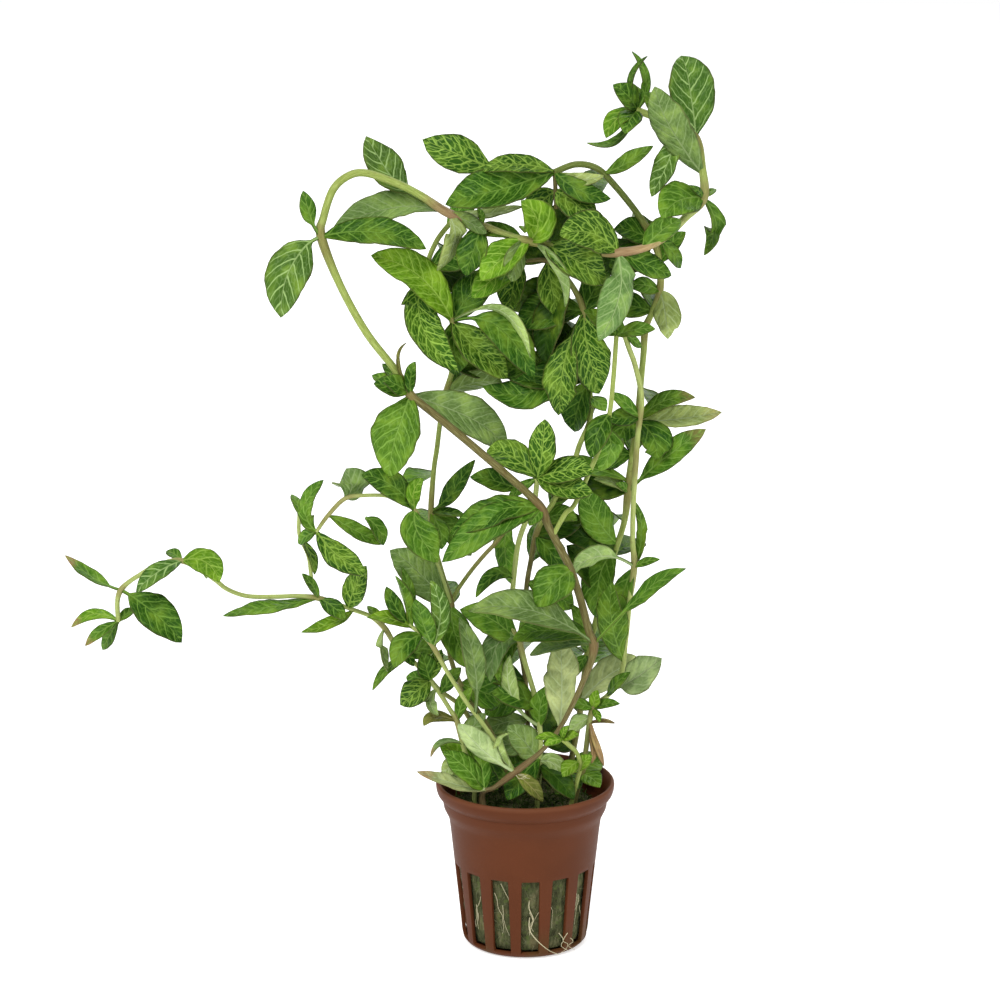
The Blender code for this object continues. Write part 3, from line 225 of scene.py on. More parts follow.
TALL_STEM = Plant("tall_arching_stem", "leaf_green", (-12.3, -13.2), [
    Shoot(2.7, (
        (0, Tint.RED), (8, Tint.BROWN), (19, Tint.BROWN), (21, Tint.GREEN), (30, Tint.GREEN),
        (31, Tint.PINK), (33, Tint.GREEN), (36, Tint.GREEN), (37, Tint.PINK), (38, Tint.PINK),
        (40, Tint.PALE), (42, Tint.GREEN),
    ), [
        (-12.5, 45.2, -14.5, 0.75), (-9, 47, -15.5, 0.75), (-3, 51.7, -17, 1.02),
        (5, 58.5, -18, 0.65), (10.5, 66, -19, 0.65), (14.5, 74, -20, 0.7), (17, 80, -20, 0.8),
        (19.3, 86, -20, 0.9), (20, 91, -20, 1.2),
        (18.5, 95, -20), (17, 101, -20), (15, 108, -20), (13, 114, -19.5), (9, 122, -18),
        (6.5, 127, -17.5), (4.5, 132, -17, 1.25), (0, 137, -16), (-10, 146, -14),
        (-20, 154.7, -12), (-30, 163, -11), (-33, 165.5, -10, 1.25), (-37.4, 173, -10),
        (-45.6, 184, -9), (-53, 198, -6), (-58, 211.5, -3, 1.25), (-57.3, 217, -2),
        (-54.5, 225, 0), (-50, 229, 1), (-45, 229.7, 2), (-37, 227, 2), (-30, 223.5, 1),
        (-22, 218.3, -1, 1.2), (-12.5, 214.8, -4), (-4, 211.5, -7), (1, 210.3, -8, 1.2),
        (10, 208.5, -9), (18, 207.3, -10), (26, 207, -11, 1.25), (34, 208.5, -10),
        (40, 212, -8), (45, 217, -5), (50, 222.7, -2, 1.25), (49.6, 231, 1),
        (47.3, 240, 4, 1.2), (40, 244, 6), (31, 247.5, 8),
    ]),
    # The pale side shoot of the lowest node
    Shoot(1.6, ((0, Tint.PALE),), [
        (-3, 51.7, -17), (-9, 61.5, -15.5), (-13, 67.5, -14.5), (-17, 73, -14),
        (-20, 78, -13.5), (-23, 83, -13), (-27, 90.5, -13, 1.25), (-30, 94, -13),
        (-34, 97, -13),
    ]),
    # The thin shoot behind the second node, which climbs to the dense crown
    Shoot(1.8, ((0, Tint.GREEN),), [
        (8, 124, -18), (11.5, 130.5, -16), (14, 133, -14), (18, 142, -11), (22, 152, -8),
        (24, 160, -7), (25, 170, -7), (25.8, 183, -7),
    ]),
], [
    # The top right tip
    Leaf((47.5, 240, 4), (43.3, 263, 8), 12.5, 20, VEINED, (46.8, 254, 3)),
    Leaf((49.8, 229.5, 1), (36.3, 254.3, -6), 10, 150, GREY, (39.5, 242.5, -8)),
    Leaf((43, 242.4, 5), (35.3, 223, -2), 6, 30, VEINED, (39, 232, -1)),
    Leaf((31, 247.5, 8), (30, 264.5, 12), 2.4, 45, MID, (36.8, 255, 8)),
    Leaf((31, 247.5, 8), (33.6, 262.8, 3), 1.6, 45, DARK, (26.3, 256.5, 5)),
    Leaf((31, 247.5, 8), (25, 254.7, 3), 6, 30, DARK),
    Leaf((38.5, 244.6, 6.4), (33, 252.5, 3), 5, 30, MID),
    Leaf((31, 247.5, 8), (29.5, 255, 14), 5, 35, DARK),
    Leaf((31, 247.5, 8), (22, 239.8, 3), 5.5, 30, BRIGHT, (24.5, 247.5, 4)),
    Leaf((31, 247.5, 8), (17.5, 239.3, 12), 2.2, 50, MID, (26, 234.5, 10)),
    Leaf((31, 247.5, 8), (27.8, 241, 0), 6, 25, DARK),
    Leaf((50, 222.7, -2), (38.3, 217.5, -16), 10, 25, MID, (44, 223, -9)),
    Leaf((50, 222.7, -2), (50.3, 206.3, 3), 4.2, 50, MID, (57, 214, 2)),
    Leaf((50, 222.7, -2), (46.3, 226.2, -7), 1.8, 30, DARK),
    Leaf((50, 222.7, -2), (53.7, 225.5, 3), 1.8, 30, MID),
    # The node below it, at the right end of the crown
    Leaf((26, 207, -11), (20.5, 181.5, -18), 9, 155, GREY, (29, 194, -16)),
    Leaf((33, 208.2, -10), (43.5, 217, -16), 6.5, 150, MID),
    Leaf((26, 207, -11), (41.5, 200.5, -6), 6.5, 30, DARK),
    Leaf((38, 210.8, -9), (44, 202.5, -4), 4, 35, DARK),
    Leaf((26, 207, -11), (9.5, 212.3, -18), 11, 22, NET, (19, 215.5, -16)),
    # The front of the crown
    Leaf((1, 210.3, -8), (-1, 222, -13), 9.5, 20, BRIGHT, (6, 215, -12)),
    Leaf((-1, 210.8, -8), (-4.5, 198.5, -15), 6, 150, GREY),
    Leaf((2, 210.1, -8), (13, 192, -15), 3, 115, PALE, (9.5, 204, -14)),
    Leaf((1, 210.3, -8), (-13, 199, -13), 9, 25, BRIGHT),
    Leaf((5, 209.5, -8.5), (24, 198.5, -12), 10, 25, NET, (13, 205, -15)),
    Leaf((-22, 218.3, -1), (-1, 220.5, 0), 3, 55, PALE, (-12, 217, 3)),
    Leaf((-1, 210.8, -8), (-17, 213, -4), 4.4, 30, MID, (-7, 215, -3)),
    Leaf((-22, 218.3, -1), (-25.5, 202, -8), 4.6, 130, PALE, (-17.5, 210, -5)),
    Leaf((-22, 218.3, -1), (-11, 212.6, -10), 4, 145, GREY),
    Leaf((-12.5, 214.8, -4), (-13.6, 220, -7), 1.8, 30, MID),
    Leaf((-12.5, 214.8, -4), (-17.5, 200.5, -9), 8, 28, DARK),
    # The left arch
    Leaf((-58, 211.5, -3), (-62.5, 224.5, -6), 4.4, 25, MID, (-61.5, 215.5, -5), stalk=0.35),
    Leaf((-58, 211.5, -3), (-70.7, 187.8, -10), 11.8, 22, VEINED, (-68, 209, -10), stalk=0.16),
    Leaf((-58, 211.5, -3), (-28, 208.3, -9), 7.6, 30, DARK, (-43, 217, -10)),
    Leaf((-24, 218.9, 0), (-56, 214, 5), 7.6, 42, GREY, (-39, 221.6, 10)),
    Leaf((-26, 220.8, 0), (-44.3, 240.8, 13), 8.8, 22, VEINED, (-39.5, 223.5, 8), stalk=0.3),
    # The node on the long slanting run
    Leaf((-33, 165.5, -10), (-40.3, 141, -17), 12.5, 22, MID, (-36, 156, -16)),
    Leaf((-33, 165.5, -10), (-3.6, 150.5, 4), 10.5, 28, GREY, (-15.5, 160.5, 0)),
    Leaf((-33, 165.5, -10), (-31.6, 175.4, -14), 3.4, 30, DARK, (-34, 171, -14)),
    Leaf((-33.5, 166.5, -10), (-41, 175, -4), 3, 30, DARK),
    Leaf((-33, 165.5, -10), (-44, 171.5, -6), 4.5, 35, MID),
    Leaf((-33.5, 166.5, -10), (-40.5, 170.5, -17), 5, 30, DARK),
    Leaf((-33, 165.5, -10), (-34.3, 181, -12), 0.9, 40, OLIVE, (-39, 177, -12)),
    # The node in the middle
    Leaf((4.5, 132, -17), (-22.5, 124.5, -20), 7.5, 38, DARK, (-9, 135, -22)),
    Leaf((4.5, 132, -17), (-24.5, 116, -24), 9.5, 30, MID, (-8, 130, -26)),
    Leaf((4.5, 132, -17), (1, 127, -22), 3.6, 15, MID),
    # The brown node at the right
    Leaf((20, 91, -20), (-17, 103.5, -25), 8.5, 40, GREY, (6, 103, -30), stalk=0.16),
    Leaf((19.3, 92.5, -20), (-4, 93, -14), 7.5, 42, MID, (8, 98, -15)),
    Leaf((20, 91, -20), (1, 88.2, -12), 4.2, 55, GREY, stalk=0.15),
    Leaf((20, 91, -20), (44.5, 115.5, -28), 3.8, 58, MID, (28.5, 100.5, -24), stalk=0.42),
    Leaf((10.2, 65.6, -19), (10.5, 93.5, -12), 9, 158, CREAM, (11.3, 80, -12)),
    # Broad leaf hanging in front of the stem
    Leaf((13.3, 113.5, -19.5), (2.5, 102.5, -26), 10, 28, MID, (9, 112, -27)),
    # Leaves of the lowest nodes, among them the pale ones over the rim
    Leaf((-3, 51.7, -17), (-19.5, 67.3, -22), 6.4, 150, CREAM, (-12, 57.3, -22), stalk=0.2),
    Leaf((-3, 51.7, -17), (-5.2, 64.8, -23), 2.4, 118, PALE, (-11, 60, -20)),
    Leaf((-3, 51.7, -17), (5.5, 42.6, -18.5), 4.2, 30, OLIVE),
    Leaf((-12, 46, -14.8), (-23, 58.5, -17), 6.5, 34, MID),
    Leaf((-11, 46.3, -15), (-31.5, 52.6, -15), 3.8, 40, CREAM, (-21, 46.6, -17), dry_tip=0.8),
    Leaf((-12, 46, -14.8), (-13.5, 59, -12), 5, 30, MID),
    # The pale side shoot
    Leaf((-14.6, 69.8, -14.3), (-18, 99, -17), 6.2, 25, GREY, (-13.6, 80, -20), stalk=0.26),
    Leaf((-27, 90.5, -13), (-27.5, 110.5, -17), 5.5, 20, VEINED, (-23.5, 100, -18)),
    Leaf((-27, 90.5, -13), (-31, 105.5, -22), 6, 150, MID, (-31, 97, -19)),
    Leaf((-34, 97, -13), (-40.2, 108.5, -15), 4.2, 22, DARK, (-39.3, 102, -15)),
    Leaf((-33, 96.2, -13), (-37.4, 112, -19), 2.8, 125, MID),
    Leaf((-34, 97, -13), (-35.5, 114.5, -11), 3.2, 30, MID),
    Leaf((-33, 96.2, -13), (-45.5, 100, -17), 3.4, 45, BRIGHT),
    Leaf((-30, 94, -13), (-38.5, 84, -20), 6.5, 25, DARK, (-36, 92, -18)),
    # The thin shoot
    Leaf((24, 160, -7), (18.7, 147, -14), 6.8, 22, DARK, (20, 156, -12)),
    Leaf((23, 156, -7.5), (21, 143.5, -3), 7.4, 148, MID, (26, 150, -4)),
    Leaf((25.8, 183, -7), (36.5, 185.5, -10), 3.8, 40, MID),
    Leaf((25.8, 183, -7), (17, 190.5, -12), 5, 30, DARK),
    # Deep between the others
    Leaf((-34, 166, -10), (-43.5, 169, -12), 5.5, 28, DARK),
])

FORKED_STEM = Plant("left_forked_stem", "leaf_green", (-3.5, 1.0), [
    Shoot(2.0, ((0, Tint.OLIVE), (6, Tint.OLIVE), (9, Tint.GREEN)), [
        (-4.5, 50, -1), (-10, 64, -3), (-16, 74, -4), (-19, 79, -4), (-21, 84, -4),
        (-22.3, 90, -3), (-22, 97, -1), (-21.5, 103, 0, 1.3), (-24, 112, 2),
        (-26.5, 122, 4), (-27.3, 131, 6, 1.2), (-26.5, 143, 7), (-25.5, 150, 7),
        (-24.5, 158, 7), (-23, 166, 6, 1.2), (-21, 174, 5), (-21, 187, 4, 1.2),
        (-26, 195, 6), (-28, 202.5, 8), (-25.5, 210, 10), (-21, 216, 11),
    ]),
    Shoot(1.7, ((0, Tint.GREEN), (3, Tint.OLIVE), (6, Tint.BROWN)), [
        (-21.5, 103, 0), (-20, 107, 1), (-16, 113, 1), (-12, 118, 0), (-8, 122.5, 0),
        (-4, 129, -1), (-3, 138, -2),
    ]),
    Shoot(1.4, ((0, Tint.PALE),), [
        (-21.5, 103, 0), (-24, 111, -3), (-26.5, 118, -6), (-30, 127, -9),
        (-32, 131.5, -10, 1.25), (-36, 134, -10), (-40, 135.7, -10), (-46, 135.9, -10),
        (-52, 135, -10, 1.2), (-57, 130, -10, 1.2), (-60.5, 125, -10),
    ]),
], [
    # The lower fork
    Leaf((-21.5, 103, 0), (-38.4, 119.8, -6), 10.4, 28, GREY, (-30.5, 111.5, -5)),
    Leaf((-21.5, 103, 0), (-15.5, 84, -9), 9, 24, MID, (-21.5, 94, -9)),
    Leaf((-27.3, 131, 6), (-24, 120, 1), 5, 30, MID),
    Leaf((-27.3, 131, 6), (-15.3, 146.5, 1), 4.8, 25, DARK, (-22.5, 134, 3), stalk=0.2),
    Leaf((-27.3, 131, 6), (-17.5, 130, 3), 2.8, 35, DARK),
    # The branch to the middle
    Leaf((-3, 138, -2), (-15.8, 142, -6), 5.6, 28, DARK, (-8, 139.8, -6)),
    Leaf((-4.5, 128, -1), (-3.3, 110, 4), 6, 148, MID, (-7, 119, 5)),
    # The pale branch to the left
    Leaf((-32, 131.5, -10), (-25, 116, -18), 9.8, 25, MID, (-32.3, 125, -17)),
    Leaf((-32, 131.5, -10), (-29.6, 141, -14), 4.4, 25, BRIGHT, (-34, 137.5, -14)),
    Leaf((-32, 131.5, -10), (-47.3, 142, -14), 7, 28, DARK, (-38, 141, -15)),
    Leaf((-52, 135, -10), (-51.5, 144, -6), 9, 150, GREY, (-48.3, 138.5, -7)),
    Leaf((-57, 130, -10), (-41.1, 121.5, -5.1), 4.2, 30, MID, (-49.5, 126.2, -6.5)),
    Leaf((-60.5, 125, -10), (-61.5, 134, -13), 4, 25, MID, (-66, 129, -13)),
    Leaf((-60.5, 125, -10), (-46.3, 112.3, -16), 7, 25, NET, (-54.5, 116.8, -16)),
    Leaf((-60.5, 125, -10), (-66, 121.8, -5), 3.6, 30, MID),
    # The upper run and the left of the crown
    Leaf((-23, 166, 6), (-6.5, 169, 3), 5.4, 138, GREY, (-14, 171.5, 5)),
    Leaf((-21, 187, 4), (-44, 206.2, -4), 10, 22, BRIGHT, (-29, 202.5, -6)),
    Leaf((-21, 187, 4), (2.5, 170.5, -8), 9.5, 24, DARK, (-7, 192, -8), stalk=0.22),
    Leaf((-21, 187, 4), (2, 177, -10), 2.6, 125, PALE, (-5, 199, -10), stalk=0.2),
    Leaf((-27.5, 200, 7), (-19, 173, -7), 9.5, 24, NET, (-36, 186, -4)),
    Leaf((-21, 187, 4), (-20, 171.5, 0), 9, 25, DARK),
    Leaf((-21, 187, 4), (-9, 203, 9), 9, 28, DARK),
    Leaf((-28, 202.5, 8), (-10, 208, 4), 8, 35, DARK),
    Leaf((-22.4, 214.2, 10.8), (-12, 226, 9), 6, 35, MID),
    Leaf((-21, 187, 4), (-4.5, 171, -3), 10, 26, NET, (-15, 178, -3)),
    Leaf((-21, 187, 4), (-25, 191, 30), 9, 12, DARK, (-18, 194, 18)),
    Leaf((-27.3, 131, 6), (-30, 121, 30), 8, 14, MID, (-29, 132, 20)),
    # Deep between the others
    Leaf((-28, 202.5, 8), (-14, 197, 14), 9, 24, SHADE),
    Leaf((-21, 174, 5), (-10, 172.5, 9), 6, 24, SHADE),
    Leaf((-27.3, 131, 6), (-15, 118, 8), 7, 26, MID),
    Leaf((-19, 79, -4), (-6.5, 74, 1), 10, 26, MID),
    Leaf((-4.3, 49, 1), (-19, 53, 14), 8, 24, DARK),
    Leaf((-23, 166, 6), (-13, 174, 24), 8, 20, MID),
    Leaf((-21.5, 103, 0), (-27, 112, 22), 8, 20, MID),
    Leaf((-25.5, 210, 10), (-20, 198, 32), 8, 20, DARK),
    Leaf((-26.5, 143, 7), (-35, 138, 22), 7, 20, MID),
    # The hooked end of the bitten leaf on the pale branch
    Leaf((-46.4, 129.2, -6.5), (-40.7, 120.8, -5), 4.2, 32, MID, (-42.5, 127, -6)),
])

TRAILING_STEM = Plant("left_trailing_stem", "pale_leaf_green", (-9.5, 8.0), [
    Shoot(1.8, ((0, Tint.OLIVE), (4, Tint.PALE)), [
        (-12, 58, 9), (-18, 71, 9), (-25, 77, 9), (-30, 83, 8.5), (-34, 87, 8),
        (-38, 91, 7), (-41, 96, 6, 1.25), (-45, 99.5, 5), (-50, 101.5, 3.5), (-54, 103, 2),
        (-60, 105, 0, 1.3), (-66, 105.7, -1), (-72, 105.5, -2), (-79, 105.5, -3),
        (-83, 106.2, -4), (-87, 108, -4), (-90, 110.5, -5), (-95, 114, -6),
        (-99.5, 116.3, -6, 1.3), (-104, 116, -6), (-108, 114.5, -6), (-112, 112, -6),
        (-115, 110, -6), (-117.5, 107.5, -6, 1.25), (-118.6, 104, -6), (-118.5, 98, -6),
    ]),
    Shoot(1.5, ((0, Tint.PALE),), [
        (-60, 105, 0), (-61.7, 108, 1), (-62.3, 113, 2), (-63, 118, 3), (-65.4, 124, 3),
        (-65.4, 130, 3),
    ]),
], [
    Leaf((-51.5, 102.1, 2.8), (-46.3, 114.8, -6), 6.6, 22, NET, (-50.8, 107, -4)),
    Leaf((-60, 105, 0), (-52.5, 98.6, -5), 4.6, 28, DARK),
    Leaf((-50, 101.5, 3.5), (-65.3, 95, -2), 3, 50, BRIGHT, (-55, 96, 0)),
    Leaf((-60, 105, 0), (-88, 100.2, -7), 3.2, 58, MID, (-74, 101.8, -6)),
    Leaf((-60, 105, 0), (-64.7, 112.5, -5), 2.6, 35, MID),
    Leaf((-65.4, 130, 3), (-58.7, 140.5, 0), 3.6, 35, MID),
    Leaf((-65.4, 130, 3), (-67.3, 136.5, 8), 2.6, 35, MID),
    Leaf((-64.8, 123, 3), (-61, 112.3, -3), 2.6, 55, NET),
    Leaf((-99.5, 116.3, -6), (-88.6, 110, -15), 7, 22, BRIGHT, (-92, 118, -13)),
    Leaf((-99.5, 116.3, -6), (-113.3, 106.8, -14), 4.8, 30, VEINED, (-106.5, 112.8, -14)),
    Leaf((-99.5, 116.3, -6), (-104, 119.4, -1), 3, 30, MID),
    Leaf((-117.5, 107.5, -6), (-99.5, 92, -13), 9.8, 22, DARK, (-111, 102.5, -13), stalk=0.14),
    Leaf((-117.5, 107.5, -6), (-133.3, 118, -1), 3.6, 48, MID, (-124, 108.5, -4), stalk=0.22, dry_tip=0.8),
    Leaf((-118.5, 98, -6), (-132.6, 96.4, -3), 3.2, 42, BRIGHT, (-125, 104, -4), dry_tip=0.8),
    Leaf((-118.5, 98, -6), (-128.5, 91, -11), 2.8, 40, MID, dry_tip=0.8),
    Leaf((-118.5, 98, -6), (-123.5, 89.3, -2), 3.2, 35, MID),
    Leaf((-118.5, 98, -6), (-113.7, 102, -2), 2.8, 30, MID),
    Leaf((-41, 96, 6), (-40, 82.8, 2), 2, 62, PALE, (-43.5, 89, 3)),
    Leaf((-34, 87, 8), (-45, 77.2, 3), 2.4, 48, MID, (-40, 84.5, 4)),
    Leaf((-41, 96, 6), (-45.8, 103, 10), 3, 35, BRIGHT),
    Leaf((-38, 91, 7), (-32.5, 84.5, 3), 3.6, 30, DARK),
    # Deep between the others
    Leaf((-34, 87, 8), (-26, 92, 9), 6, 24, DARK),
    Leaf((-11, 54, 9), (-22, 57, 12), 8, 26, MID),
    Leaf((-30, 83, 8.5), (-22, 88, 26), 6, 20, MID),
    Leaf((-18, 71, 9), (-10, 62, 30), 8, 20, DARK),
    Leaf((-60, 105, 0), (-55, 99, 15), 5, 20, MID),
    Leaf((-99.5, 116.3, -6), (-92, 112, 10), 5, 20, MID),
])

LOW_LEFT_STEM = Plant("low_left_stem", "leaf_green", (-15.0, -3.0), [
    Shoot(1.7, ((0, Tint.PALE),), [
        (-15, 50, -4), (-18, 59, -6), (-20, 67.5, -7, 1.3), (-22, 71, -7), (-25, 76, -7),
        (-28, 80, -7),
    ]),
], [
    Leaf((-28, 80, -7), (-30, 88.5, -9), 5.5, 25, DARK),
    Leaf((-28, 80, -7), (-36.8, 72.6, -11), 7, 25, NET, (-31.5, 76.5, -11)),
    Leaf((-26, 77.4, -7), (-25.3, 69.5, -11), 3, 35, PALE, (-30, 73, -10)),
    Leaf((-28, 80, -7), (-35, 81.5, -3), 4, 30, MID),
    Leaf((-25, 76, -7), (-19, 84, -8), 4, 30, DARK),
    Leaf((-28, 80, -7), (-24.5, 89.5, -7), 4, 25, NET),
    Leaf((-20, 67.5, -7), (-30.2, 66.3, -10), 3, 42, OLIVE, (-27.5, 71, -9)),
    Leaf((-18.3, 60.5, -6.3), (-28.2, 56.6, -8), 1.6, 55, GREY, (-25, 63.3, -8), dry_tip=0.8),
    Leaf((-18.3, 60.5, -6.3), (-12, 70, -7), 5, 28, GREY),
    Leaf((-16.5, 55, -5), (-24.5, 50.5, -7), 5, 30, PALE, (-22, 55, -8)),
    Leaf((-20, 67.5, -7), (-15.5, 78, -7), 3.6, 30, MID),
    # Deep between the others
    Leaf((-15, 50, -4), (-25, 62, -3), 7, 26, BRIGHT),
    Leaf((-15, 49, -4), (-8, 46.5, -12), 6, 30, DARK),
    Leaf((-15, 49, -4), (-22, 50, 3), 6, 28, MID),
])

MIDDLE_STEM = Plant("middle_pale_stem", "pale_leaf_green", (3.5, -7.5), [
    Shoot(2.0, ((0, Tint.PALE),), [
        (4, 48, -7.5), (4.5, 62, -8), (3, 74, -8), (1.5, 80, -7), (0, 85, -7),
        (-2, 92, -7, 1.25), (-5, 98, -6), (-4, 105, -6), (-3, 115, -6), (-2, 122, -7),
        (0, 128, -8), (2.5, 134, -10), (3.3, 141, -11),
    ]),
], [
    Leaf((3.3, 141, -11), (5.2, 158.6, -13), 7.4, 18, NET, (5, 150, -16)),
    Leaf((3.3, 141, -11), (-11.5, 150, -5), 8.4, 32, NET, (-5, 149, -8)),
    Leaf((3.3, 141, -11), (19.5, 136.8, -20), 7, 25, NET, (11, 138, -20)),
    Leaf((3.3, 141, -11), (19.5, 143.5, -17), 7.4, 34, NET, (11, 145, -16)),
    Leaf((3.3, 141, -11), (-5, 135.5, -8), 3, 35, MID),
    Leaf((-2, 92, -7), (-7, 79.5, -11), 5, 30, MID, (-8.5, 88, -11)),
    Leaf((-2, 92, -7), (-10, 79.5, -13), 6.8, 28, GREY, (-10.5, 96.5, -12)),
    Leaf((3.5, 72, -8), (-9.5, 76.5, -12), 7.5, 30, DARK),
    Leaf((4.3, 66, -8), (-4.8, 88, -12), 4.2, 152, PALE, (-5.5, 72, -13), stalk=0.3),
    Leaf((4.3, 66, -8), (6, 78, -12), 5.2, 28, MID),
    Leaf((4.2, 56, -8), (-5, 66, -11), 8, 30, GREY),
    Leaf((4.2, 55, -8), (10.5, 48.3, -12), 5, 148, PALE, (9.5, 57, -11)),
    Leaf((4.2, 54, -8), (-1, 48, -13), 5, 30, MID),
    Leaf((-3.5, 111, -6), (-14.5, 105.2, -11), 3.8, 28, DARK, (-9, 115.8, -9)),
    # Deep between the others
    Leaf((-2, 92, -7), (-18.5, 102, -9), 9, 26, MID),
    Leaf((4.2, 54, -8), (14.5, 43.5, -18), 6, 30, SHADE),
    Leaf((4.2, 56, -8), (-5.5, 43.5, -16), 8, 28, DARK),
])

DARK_STEM = Plant("middle_dark_stem", "leaf_green", (0.5, 8.0), [
    Shoot(2.0, (
        (0, Tint.BROWN), (6, Tint.BROWN), (8, Tint.GREEN), (15, Tint.GREEN), (17, Tint.BROWN),
    ), [
        (1, 56, 8), (0.3, 76, 8), (-0.5, 84, 8), (-1.5, 92, 8, 1.25), (-0.5, 100, 8),
        (0.5, 110, 8), (1.5, 116, 7), (3, 124, 6, 1.2), (5, 129, 4), (8, 134, 3),
        (13.5, 145, 1), (15.5, 151, 1), (18.5, 159, 1), (18, 170, 1), (17, 180, 0),
        (16.5, 190, 0, 1.25), (12, 199, 1), (6, 204.5, 2), (-1, 204, 2),
    ]),
], [
    Leaf((16.5, 190, 0), (-12.3, 168.5, -1), 10, 28, DARK, (9, 157, -3)),
    Leaf((16.5, 190, 0), (10.3, 159.5, -9), 9.4, 22, NET, (7.6, 176, -7), stalk=0.25),
    Leaf((16.5, 190, 0), (22, 165.5, -2), 10.5, 22, NET, (16, 177, -6)),
    Leaf((18.2, 165, 1), (23, 161, -2), 4.2, 35, MID),
    Leaf((16.5, 190, 0), (-3.5, 186.5, 1.5), 10, 28, DARK, (6, 191, -1)),
    Leaf((16.5, 190, 0), (23, 202, 1), 8, 30, DARK),
    Leaf((-1, 204, 2), (-4.5, 190, -2), 8, 28, NET, (-5, 198, -1)),
    Leaf((6, 204.5, 2), (8.5, 189, -2), 8.5, 28, NET),
    Leaf((-1, 204, 2), (-15.5, 194, -4), 8, 30, BRIGHT),
    Leaf((4.5, 128, 4.4), (15, 128.5, 0), 5, 35, MID, (10, 131, 0)),
    Leaf((3, 124, 6), (11, 113, 2), 7, 30, DARK),
    Leaf((-1.5, 92, 8), (6, 104, 3), 5, 32, MID),
    Leaf((-1.5, 92, 8), (-11.5, 86.5, 4), 5.5, 32, MID),
    Leaf((0.3, 76, 8), (-12, 70, 4), 8, 32, MID),
    Leaf((1, 60, 8), (-11, 60, 4), 7.5, 34, GREY),
    Leaf((0.1, 80, 8), (-13, 82, 2), 7, 30, SHADE),
    Leaf((0.6, 68, 8), (-13, 64.5, 1), 7, 32, GREY),
    # Behind the others
    Leaf((12, 199, 1), (5, 174.5, -3), 9, 26, SHADE, (8, 190, -3)),
    Leaf((16.5, 190, 0), (8, 188, 28), 10, 12, MID, (12, 197, 16)),
    Leaf((1, 204.3, 2), (-8, 206, 28), 9, 12, NET, (-3, 210, 16)),
    Leaf((-1.5, 92, 8), (-6, 84, 34), 9, 12, MID, (-4, 93, 22)),
    Leaf((1, 60, 8), (-5, 61, 32), 9, 14, DARK, (-2, 67, 20)),
    # Deep between the others
    Leaf((6, 204.5, 2), (11.5, 223, 9), 9, 22, SHADE),
    Leaf((6, 204.5, 2), (-5, 208, 9), 8, 24, SHADE),
    Leaf((12, 199, 1), (-5, 191, 9), 8, 24, SHADE),
    Leaf((17, 180, 0), (-3, 184, 6), 9, 24, SHADE),
    Leaf((18, 170, 1), (-9, 174, 6), 10, 24, DARK),
    Leaf((18, 170, 1), (13.5, 154.5, 4), 8, 22, DARK),
    Leaf((8, 134, 3), (13.5, 140, 7), 7, 24, SHADE),
    Leaf((3, 124, 6), (16.5, 129, 9), 8, 24, SHADE),
    Leaf((0.5, 110, 8), (14.5, 102.5, 10), 8, 24, MID),
    Leaf((0.3, 76, 8), (10, 63.5, 9), 9, 24, SHADE),
    Leaf((0.9, 52, 8), (-9.5, 56, 18), 9, 24, MID),
    Leaf((0.9, 50, 8), (10.5, 55, 18), 8, 26, DARK),
    Leaf((17, 180, 0), (6, 188, 24), 9, 20, DARK),
    Leaf((13.5, 145, 1), (8, 133, 24), 8, 20, MID),
    Leaf((18.5, 159, 1), (10, 167, 24), 8, 20, NET),
    Leaf((1.5, 116, 7), (8, 127, 29), 8, 20, MID),
])

